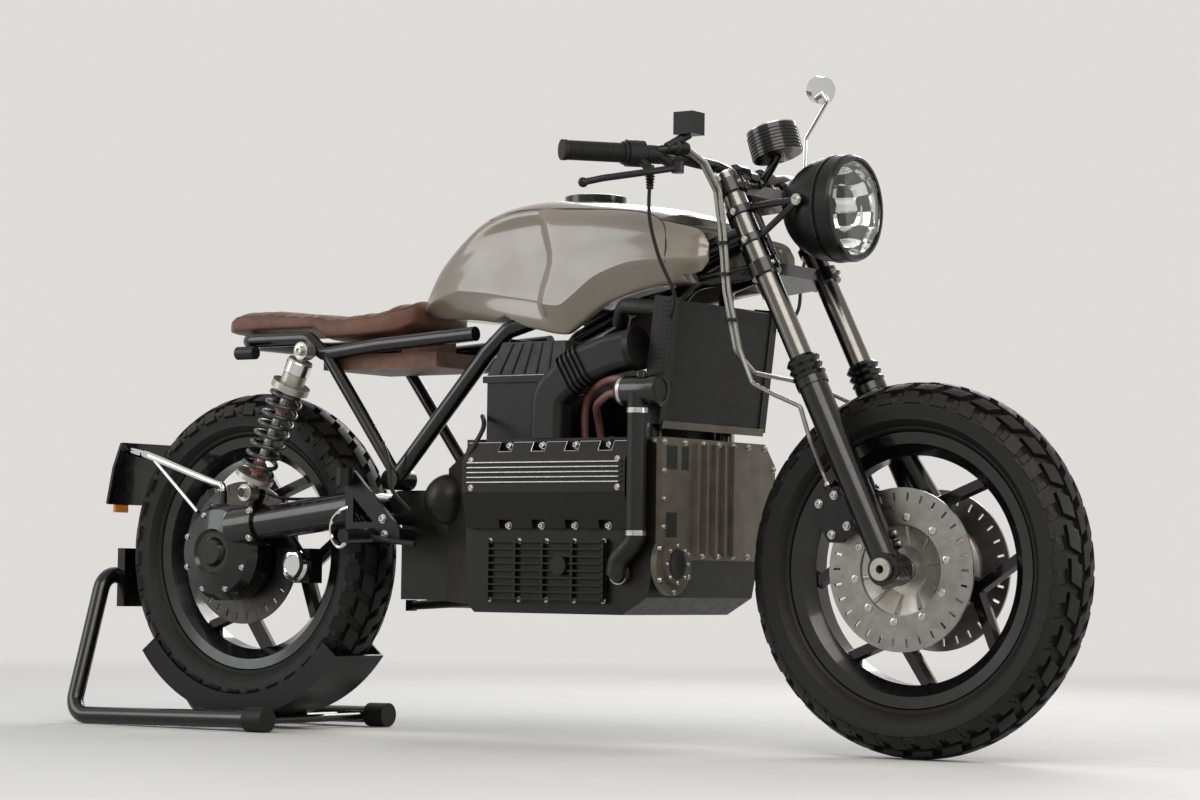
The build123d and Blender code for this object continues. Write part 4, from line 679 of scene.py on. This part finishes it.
# Fuel tank: boxy shoulders, knee hollows behind a crease, a fold above the turned-in lower edge
TANK_SECTIONS = [
    (-301, 62, 806, 845), (-272, 80, 802, 885), (-243, 94, 799, 917), (-186, 112, 795, 964),
    (-136, 126, 790, 994), (-77, 139, 781, 1011), (5, 151, 768, 1018), (84, 159, 755, 1013),
    (117, 161, 771, 1009), (173, 164, 805, 1001), (261, 166, 828, 987), (350, 163, 841, 964),
    (390, 160, 845, 950), (405, 150, 856, 934),
]
TANK_REAR, TANK_FRONT = TANK_SECTIONS[0][0], TANK_SECTIONS[-1][0]
TANK_STATIONS = 140
CREASE = [(756, 69), (820, 47), (893, 66), (992, 34)]
KNEE_DEPTH = 24
CAP_X = 54


def ease(value):
    """Smooth step from 0 to 1."""
    value = max(0.0, min(1.0, value))
    return value * value * (3 - 2 * value)


def tank_values(x):
    """Half width, low edge and top at a station, evenly curved through the table."""
    for i in range(len(TANK_SECTIONS) - 1):
        if x <= TANK_SECTIONS[i + 1][0]:
            break
    p1, p2 = TANK_SECTIONS[i], TANK_SECTIONS[i + 1]
    p0 = TANK_SECTIONS[max(i - 1, 0)]
    p3 = TANK_SECTIONS[min(i + 2, len(TANK_SECTIONS) - 1)]
    t = (x - p1[0]) / (p2[0] - p1[0])
    found = []
    for k in (1, 2, 3):
        slope1 = (p2[k] - p0[k]) / (p2[0] - p0[0]) * (p2[0] - p1[0])
        slope2 = (p3[k] - p1[k]) / (p3[0] - p1[0]) * (p2[0] - p1[0])
        found.append((2 * t ** 3 - 3 * t ** 2 + 1) * p1[k] + (t ** 3 - 2 * t ** 2 + t) * slope1
                     + (3 * t ** 2 - 2 * t ** 3) * p2[k] + (t ** 3 - t ** 2) * slope2)
    return found


def tank_section(x):
    """Right half of the section at a station, top to bottom, as (half width, height)."""
    half, low, top = tank_values(x)
    rise = top - low
    fold = min(50, rise * 0.3)
    keys = [(0, top), (0.30 * half, top - 0.012 * rise), (0.58 * half, top - 0.042 * rise),
            (0.78 * half, top - 0.10 * rise), (0.90 * half, top - 0.20 * rise),
            (0.965 * half, top - 0.36 * rise), (0.98 * half, top - 0.50 * rise),
            (half + 1, low + fold + 8), (half + 0.5, low + fold), (half - 13, low + fold * 0.5),
            (half - 23, low + fold * 0.1), (half - 27, low)]
    path = smooth_path([Vector((y, z, 0)) for y, z in keys], 5)
    section = []
    for point in path:
        y, z = point.x, point.y
        behind = along(CREASE, z) - x
        hollow = ease(behind / 30) * (1 - ease((behind - 60) / 260))
        hollow *= ease((z - low - 12) / 46) * ease((top - 22 - z) / 40)
        section.append((y - KNEE_DEPTH * hollow * ease((y - 40) / 60), z))
    return section


tank = Shape()
tank_rows = []
for i in range(TANK_STATIONS + 1):
    x = TANK_REAR + (TANK_FRONT - TANK_REAR) * i / TANK_STATIONS
    half_section = tank_section(x)
    loop = [(y, z) for y, z in half_section] + [(-y, z) for y, z in reversed(half_section[1:])]
    tank_rows.append([at(x, y, z) for y, z in loop])
tank.grid(tank_rows, close_columns=True)
tank.fan(tank_rows[0])
tank.fan(tank_rows[-1])
tank_item = tank.piece("tank_body", None, PAINT, 40)


def prism(outline, low_y, high_y):
    """Cutter: a side-view outline in chassis millimetres, extruded across."""
    cutter = Shape()
    cutter.grid([[at(x, low_y, z) for x, z in outline], [at(x, high_y, z) for x, z in outline]],
                close_columns=True)
    cutter.fan([at(x, low_y, z) for x, z in outline])
    cutter.fan([at(x, high_y, z) for x, z in outline])
    return cutter.piece("cutter", None, PAINT)


def recess(behind, top_station):
    """Cutter: the room that the fork and its hoses sweep, below a station."""
    cutter = Shape()
    rings = []
    for station in (top_station, top_station - 400):
        rings.append([leg(station, y, back) for back, y in
                      ((50 + behind, -144.5), (50 + behind, 144.5), (behind - 350, 144.5),
                       (behind - 350, -144.5))])
    cutter.grid(rings, close_columns=True)
    cutter.fan(rings[0])
    cutter.fan(rings[1])
    return cutter.piece("cutter", None, PAINT)


cutters = [prism([(-150, 740), (-150, 772), (-60, 797), (60, 838), (160, 876), (160, 740)],
                 -124, 124),
           prism([(150, 740), (150, 876), (230, 906), (420, 1000), (420, 740)], -94, 94),
           recess(62, 900), recess(86, 765)]
cap_seat = Shape()
cap_seat.lathe(at(CAP_X, 0, 1007), UP, [(58.3, 0), (58.3, 60)], 96)
cutters.append(cap_seat.piece("cutter", None, PAINT))
for cutter in cutters:
    cut = tank_item.modifiers.new("cut", "BOOLEAN")
    cut.operation = "DIFFERENCE"
    cut.solver = "EXACT"
    cut.object = cutter
bpy.context.view_layer.update()
shaped = bpy.data.meshes.new_from_object(
    tank_item.evaluated_get(bpy.context.evaluated_depsgraph_get()))
tank_item.modifiers.clear()
tank_item.data = shaped
for cutter in cutters:
    bpy.data.objects.remove(cutter)
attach(tank_item, "chassis")
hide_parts("fuel_tank")

# The crease line round the tank's side, drawn as a dark tube: painted shade along the crease
crease_shade = Shape()
for hand in (1, -1):
    line = []
    for x, row in ((-118, 15), (-40, 15), (60, 15), (150, 15), (235, 15), (285, 17), (312, 21),
                   (322, 27), (324, 34), (322, 41)):
        y, z = tank_section(x)[row]
        line.append(at(x, hand * y, z))
    crease_shade.tube(smooth_path(line, 8), 1.1, 8)
crease_shade.piece("tank_crease_shade_line", "chassis", DARK_FACE_AND_SHADE)

# Headlight: stepped reflector and bulb shield behind the glass
LAMP_X, LAMP_Z = 624, 972
lamp_centre = at(LAMP_X - 60, 0, LAMP_Z)
bowl = Shape()
rows = []
for ring in range(25):
    f = ring / 24
    radius, depth = 16 + 66 * f, 1.5 + 44 * f ** 2
    row = []
    for k in range(96):
        a = 2 * pi * k / 96
        step = (3.2 if (k // 6 + ring // 5) % 2 else 0.0) + 1.6 * abs(sin(8 * a + ring // 5))
        row.append(lamp_centre + Vector((depth + step, radius * sin(a), radius * cos(a))) / 1000)
    rows.append(row)
bowl.grid(rows, close_columns=True)
bowl.lathe(lamp_centre + FORWARD * 0.002, FORWARD, [(15, 0), (15, 22), (12, 27), (0.5, 28)], 24)
bowl.piece("headlight_reflector", "steering", MIRROR, 12)
rim_ring = Shape()
rim_ring.lathe(at(LAMP_X - 40, 0, LAMP_Z), FORWARD,
               [(94.2, 0), (96.6, 0.6), (96.6, 4), (94.2, 4.6)], 96, caps=False)
rim_ring.lathe(at(LAMP_X - 6, 0, LAMP_Z), FORWARD, [(93, 0), (94.6, 3), (92, 6.8), (86.4, 7.2)],
               96, caps=False)
rim_ring.piece("headlight_rim_ring", "steering", GLOSS_BLACK)

# Grip ribs and the gauge's ribs and face
BAR_INNER, BAR_OUTER = (372, 232, 1056), (266, 398, 1053)
grips = Shape()
for hand in (1, -1):
    inner = at(BAR_INNER[0], hand * BAR_INNER[1], BAR_INNER[2])
    outer = at(BAR_OUTER[0], hand * BAR_OUTER[1], BAR_OUTER[2])
    way = outer - inner
    for k in range(26):
        f = 0.46 + 0.5 * k / 25
        grips.lathe(inner + way * f, way, [(16.3, -1.3), (17.6, -0.5), (17.6, 0.5), (16.3, 1.3)],
                    24, caps=False)
grips.piece("grip_ribs", "steering", HOSE_RUBBER)
GAUGE = at(450, 0, 1100)
GAUGE_AXIS = Vector((-0.30, 0, 0.954))
gauge = Shape()
for k in range(7):
    gauge.lathe(GAUGE + GAUGE_AXIS * (-0.022 + k * 0.0064), GAUGE_AXIS,
                [(45.9, -1.4), (47.4, -0.7), (47.4, 0.7), (45.9, 1.4)], 64, caps=False)
gauge.piece("gauge_ribs", "steering", SATIN_BLACK)
face = Shape()
face.lathe(GAUGE + GAUGE_AXIS * 0.0262, GAUGE_AXIS, [(40, 0), (40, 0.5)], 48)
face.piece("gauge_face", "steering", DARK_FACE_AND_SHADE)
gauge_rim = Shape()
gauge_rim.lathe(GAUGE + GAUGE_AXIS * 0.0255, GAUGE_AXIS, [(46, 0), (46, 2.4), (41, 2.8), (40, 1)],
                64, caps=False)
one, two = square_to(GAUGE_AXIS)
for k in range(24):
    a = 2 * pi * k / 24
    radial = one * cos(a) + two * sin(a)
    gauge_rim.slab(GAUGE + GAUGE_AXIS * 0.0268 + radial * 0.035, radial,
                   GAUGE_AXIS.cross(radial), (6, 1, 0.4), 0.1)
gauge_rim.piece("gauge_rim_marks", "steering", ZINC)

# Radiator rows
RAD_TOP, RAD_FOOT = at(351, 0, 806), at(325, 0, 587)
rad_up = (RAD_TOP - RAD_FOOT).normalized()
rad_out = Vector((rad_up.z, 0, -rad_up.x))
rows_shape = Shape()
for k in range(42):
    f = (k + 0.5) / 42
    centre = RAD_FOOT + (RAD_TOP - RAD_FOOT) * f - rad_out * 0.0032
    rows_shape.slab(centre, rad_up, RIGHT, (1.6, 308, 2.4), 0.3)
rows_shape.piece("radiator_rows", "chassis", SATIN_BLACK)
pins = Shape()
for hand in (1, -1):
    for k in range(26):
        f = (k + 0.5) / 26
        centre = RAD_FOOT + (RAD_TOP - RAD_FOOT) * f + LEFT * hand * 0.1765
        pins.slab(centre - rad_out * 0.012, rad_up, rad_out * hand, (4, 16, 1.8), 0.5)
pins.piece("radiator_crimps", "chassis", PLASTIC)

# Front discs: rivets, and ribs over the carriers
rivets = Shape()
ribs = Shape()
for hand in (1, -1):
    way = LEFT * hand
    for k in range(10):
        a = 2 * pi * (k + 0.3) / 10
        radial = Vector((cos(a), 0, sin(a)))
        rivets.lathe(FRONT_AXLE + radial * 0.0915 + way * 0.0685, way,
                     [(7.5, -0.4), (7.5, 1.2), (5.5, 2.2), (3, 2.2), (2.5, 0.8)], 16)
        foot = FRONT_AXLE + radial * 0.0455 + way * 0.0464
        ribs.tube([foot, FRONT_AXLE + radial * 0.077 + way * 0.0655], 3.2, 8)
rivets.piece("disc_rivets", "front_wheel", ZINC)
ribs.piece("carrier_ribs", "front_wheel", SILVER)

# Bolts and small bright hardware, grouped by body
COVER_BOLT_X = [10 + k * 74.5 for k in range(4)]
PUMP_Y, PUMP_Z = -150, 334
chassis_bolts = Shape()
for x in COVER_BOLT_X:
    for z in (547, 401):
        chassis_bolts.bolt(at(x, -197.6, z), RIGHT, 5, 7)
for x, z in ((-60, 470), (-60, 520), (268, 470), (268, 520)):
    chassis_bolts.bolt(at(x, -223.6, z), RIGHT, 4.5, 4)
for x in (-30, 36, 98, 160, 225):
    for z in (267, 373):
        chassis_bolts.bolt(at(x, -200.6, z), RIGHT, 4, 4)
TIMING_OUTLINE = [(-185, 552), (-185, 500), (-185, 450), (-185, 400), (-196, 362), (-194, 306),
                  (-150, 284), (-106, 312), (-108, 352), (-60, 350), (-10, 350), (40, 350),
                  (90, 350), (144, 350), (178, 386), (178, 430), (178, 475), (178, 514),
                  (146, 552), (90, 552), (40, 552), (-10, 552), (-60, 552), (-120, 552)]
for y, z in TIMING_OUTLINE:
    chassis_bolts.bolt(at(342, y, z), FORWARD, 4.5, 5)
for k in range(8):
    a = 2 * pi * k / 8
    chassis_bolts.bolt(at(350, PUMP_Y + 33 * cos(a), PUMP_Z + 33 * sin(a)), FORWARD, 3.5, 3.5)
for z, y in ((430, -157), (378, -157)):
    chassis_bolts.bolt(at(-657, y, z), RIGHT, 5.5, 6)
for k in range(8):
    a = 2 * pi * (k + 0.5) / 8
    chassis_bolts.bolt(REAR_AXLE + Vector((78 * cos(a), -145, 78 * sin(a))) / 1000, RIGHT, 4.5, 5)
for x, z in ((-298, 384), (-303, 414), (-330, 384), (-390, 492), (-376, 380)):
    chassis_bolts.bolt(at(x, -179.6, z), RIGHT, 6.5, 6)
    chassis_bolts.bolt(at(x, 179.6, z), LEFT, 6.5, 6)
for x, z in ((-530, 741), (-668, 466)):
    chassis_bolts.bolt(at(x, -163.2, z), RIGHT, 10, 8)
for x in (-40, 46, 132, 218, 290):
    for z in (356, 500):
        chassis_bolts.bolt(at(x, 239.6, z), LEFT, 5, 5)
for z in (300, 345, 390, 435, 480, 525):
    chassis_bolts.bolt(at(-94, -164, z), BACK, 5, 5)
chassis_bolts.piece("chassis_bolts", "chassis", ZINC)

steer_bolts = Shape()
for hand in (1, -1):
    steer_bolts.bolt(at(LAMP_X - 62, hand * 106, LAMP_Z + 8), LEFT * hand, 7.5, 4)
    for station in (34, 54):
        steer_bolts.bolt(leg(station, hand * 96.5, -33), -LEG_BACK, 4.5, 4)
        steer_bolts.bolt(leg(station, hand * 96.5, 22), LEG_BACK, 4.5, 4)
    for station in (592, 757):
        for y_step in (-9, 9):
            steer_bolts.bolt(leg(station, hand * LEG_Y + y_step, -26), -LEG_BACK, 4, 4)
    for station in (650, 707):
        steer_bolts.bolt(leg(station, hand * (LEG_Y + 25.8)), LEFT * hand, 4.5, 4)
    for station, back in ((108, 50), (168, 50), (108, 84), (168, 84)):
        steer_bolts.bolt(leg(station, hand * 94, back), LEFT * hand, 6, 6)
    steer_bolts.bolt(leg(192, hand * 80, 60), LEG_UP, 7, 7)
    steer_bolts.lathe(leg(783, hand * LEG_Y), LEG_UP, [(19.5, 0), (19.5, 4), (16, 6), (8, 6),
                                                       (7, 3)], 24)
steer_bolts.lathe(leg(777, 0, 50), LEG_UP, [(19, 0), (19, 9), (16, 11), (7, 11), (6, 6)], 6)
steer_bolts.piece("steering_bolts", "steering", ZINC)


def band(shape, where, way, radius, width=9, lift=1.2):
    """Adds a flat ring that stands proud of a pipe of this radius."""
    shape.lathe(where, way, [(radius - 0.2, -width / 2), (radius + lift, -width / 2),
                             (radius + lift, width / 2), (radius - 0.2, width / 2)], 40,
                caps=False)


# Hose clamps on the coolant pipes
clamps = Shape()
for z in (606, 388):
    band(clamps, at(304, -216, z), UP, 18.0)
    clamps.slab(at(304, -235, z), UP, FORWARD, (9, 12, 6))
band(clamps, at(262, -206, 316), LEFT, 18.4, 8)
for x in (270, 338):
    band(clamps, at(x, -206, 642), FORWARD, 26.2, 7)
clamps.piece("hose_clamps", "chassis", ZINC)

# Brown hoses and wiring between the thermostat and the head
hoses = Shape()
hoses.tube(smooth_path([at(132, -132, 552), at(134, -138, 606), at(156, -154, 642),
                        at(196, -180, 656), at(236, -198, 664), at(270, -206, 662)]), 7, 12)
hoses.tube(smooth_path([at(168, -132, 552), at(168, -142, 590), at(184, -172, 616),
                        at(212, -196, 628), at(240, -206, 638), at(272, -210, 636)]), 7, 12)
hoses.piece("brown_hoses", "chassis", PINK_HOSE)
wires = Shape()
wires.tube(smooth_path([at(-330, -150, 560), at(-300, -168, 520), at(-285, -176, 470),
                        at(-262, -150, 430)]), 4, 10)
wires.tube(smooth_path([at(-92, -150, 606), at(-60, -190, 580), at(-76, -215, 520),
                        at(-92, -180, 470)]), 4.5, 10)
wires.tube(smooth_path([at(230, -190, 560), at(252, -212, 520), at(262, -214, 470),
                        at(300, -196, 430)]), 4.5, 10)
wires.piece("wiring", "chassis", HOSE_RUBBER)

# Throttle and clutch cables, from the steered controls to the chassis
for label, hand in (("throttle_cable", -1), ("clutch_cable", 1)):
    cable = Shape()
    route = [at(372, hand * 285, 1010), at(360, hand * 268, 944), at(362, hand * 240, 876),
             at(374, hand * 208, 812), at(350, hand * 180, 772)]
    cable.tube(smooth_path(route, 14), 3.4, 10)
    item = cable.piece(label, None, HOSE_RUBBER)
    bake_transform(item)

# Bright tubes on the plate bracket and heel guards, and the canister by the rear caliper
bright = Shape()
bright.tube(smooth_path([at(-762, -118, 470), at(-768, -118, 482), at(-800, -118.3, 491),
                         at(-958, -120, 541), at(-1000, -101, 547), at(-1084, -62, 559)], 6),
            7.5, 16)
bright.tube([at(-824, -126, 430), at(-948, -122, 534.5)], 4.0, 10)
for hand in (1, -1):
    bright.tube(smooth_path([at(x, hand * 178, z) for x, z in
                             ((-388, 436), (-411, 428), (-429, 409), (-429, 379), (-411, 360),
                              (-392, 371))], 8), 3.9, 10)
bright.piece("bright_tubes", "chassis", CHROME)
reflector = Shape()
reflector.slab(at(-1117, -42, 440), LEFT, UP, (40, 20, 6), 1.5)
for k in range(6):
    reflector.slab(at(-1117.5, -57 + k * 6, 440), LEFT, UP * -1, (3, 15, 2.4), 1.0)
reflector.piece("plate_reflector", "chassis", AMBER)
cap_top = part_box("filler_cap")[1][2] * 1000
cap_trim = Shape()
cap_trim.lathe(at(CAP_X, 0, cap_top), UP,
               [(55, -1), (55, 0.8), (53, 1.8), (46, 1.8), (45, 0.5), (22, 0.5),
                (21, 2.6), (19, 3.4), (8, 3.4), (7, 1.2), (1, 1.2)], 72)
cap_trim.piece("filler_cap_lid", "chassis", GLOSS_BLACK)
cap_bolts = Shape()
for k in range(8):
    a = 2 * pi * k / 8
    cap_bolts.bolt(at(CAP_X + 34 * cos(a), 34 * sin(a), cap_top + 0.6), UP, 2.6, 2.2)
cap_bolts.piece("filler_cap_screws", "chassis", ZINC)
canister = Shape()
canister.lathe(at(-598, -77, 324), RIGHT, [(31, 0), (32, 2), (32, 12), (28, 18), (22, 19),
                                           (20, 17), (1, 17)], 40)
SHOCK_WAY = Vector((138, 0, 275))
canister.lathe(at(-530, -150, 741), -SHOCK_WAY, [(24.3, 22), (25.6, 24), (25.6, 46), (24.3, 48)],
               32, caps=False)
canister.piece("caliper_canister", "chassis", CHROME)
loop_wire = Shape()
loop_wire.tube(smooth_path([at(-606, -97, 352), at(-582, -100, 350), at(-574, -99, 322),
                            at(-592, -100, 298), at(-618, -92, 306)], 8), 2.4, 8)
loop_wire.tube(smooth_path([at(-700, -90, 474), at(-620, -96, 456), at(-520, -96, 456),
                            at(-430, -110, 462), at(-380, -120, 470)], 10), 3.2, 8)
loop_wire.piece("rear_brake_wires", "chassis", HOSE_RUBBER)
bushes = Shape()
shock_way = SHOCK_WAY.normalized()
for height, radius in ((48, 15), (64, 13), (182, 14)):
    bushes.lathe(at(-668, -150, 466) + shock_way * height / 1000, shock_way,
                 [(radius - 3, -4), (radius, -2.5), (radius, 2.5), (radius - 3, 4)], 24)
bushes.piece("shock_bushes", "chassis", PINK_RUBBER)

# Ribs on the airbox lid, the thermostat's cap, painted shade in the timing chest's recesses,
# radiator's foot strip
ribs = Shape()
for x in (-58, -30, -2, 26, 54):
    ribs.tube([at(x, -144.2, 684), at(x * 0.8 + 12, -133.6, 741)], 1.8, 6)
ribs.piece("airbox_ribs", "chassis", PLASTIC)
housing = Shape()
housing.lathe(at(268, -206, 642), FORWARD,
              [(26.3, 0), (26.7, 1), (26.7, 62), (28.5, 64), (28.5, 78), (26, 80), (21, 80),
               (20, 76), (1, 76)], 48)
housing.lathe(at(304, -206, 668), UP, [(9, -3), (9, 8), (7, 10), (1, 10)], 20)
housing.piece("thermostat_cap", "chassis", GLOSS_BLACK)
# Dark slabs and a dark dished disc on the timing chest's face: painted shade standing in for its
# recesses
recess_shade = Shape()
for y, z, width, height in ((-160, 524, 34, 42), (-160, 404, 34, 44), (-118, 524, 22, 42)):
    recess_shade.slab(at(341.8, y, z), LEFT, UP, (width, height, 1.0), 0.4)
recess_shade.lathe(at(350, PUMP_Y, PUMP_Z), FORWARD,
              [(27, 0), (27, 0.6), (23, 0.8), (22, 0.2), (1, 0.2)], 40)
recess_shade.piece("timing_recess_painted_shade", "chassis", DARK_FACE_AND_SHADE)
strip = Shape()
strip.slab(RAD_FOOT - rad_up * 0.004, rad_up, RIGHT, (14, 334, 3), 0.8)
strip.piece("radiator_foot_strip", "chassis", TAUPE_CAST)

# Ties round the brake hoses and the bellows below the right-hand control
ties = Shape()
for hand, x, z in ((-1, 432, 906), (-1, 437, 850), (-1, 452, 768)):
    band(ties, at(x - 5, hand * 133, z), UP, 10, 6, 1.0)
for k in range(5):
    ties.lathe(at(372, -285, 1012 - k * 5), UP * -1, [(6, -2), (10 - k * 0.8, 0), (6, 2)], 20,
               caps=False)
ties.piece("hose_ties", "steering", SATIN_BLACK)

# Engine covers' bright machined lines, and a painted highlight along the airbox lid's edge
edges = Shape()
for k in range(5):
    z = 480 + k * 9
    edges.slab(at(101.5, -226.4, z), FORWARD, UP, (340, 1.9, 0.7), 0.1)
outline = [at(-80, -205.4, 553.3)]
for x in COVER_BOLT_X:
    outline += [at(x - 15, -205.4, 553.3), at(x - 15, -214.6, 536), at(x + 15, -214.6, 536),
                at(x + 15, -205.4, 553.3)]
edges.tube(outline + [at(283, -205.4, 553.3)], 0.9, 6)
# A bright line along the airbox lid's edge: a painted highlight
edges.tube([at(-88, -151.4, 680.4), at(98, -151.4, 680.4)], 0.8, 6)
edges.piece("cover_bright_ribs_and_lid_highlight", "chassis", EDGE_METAL_AND_HIGHLIGHT)
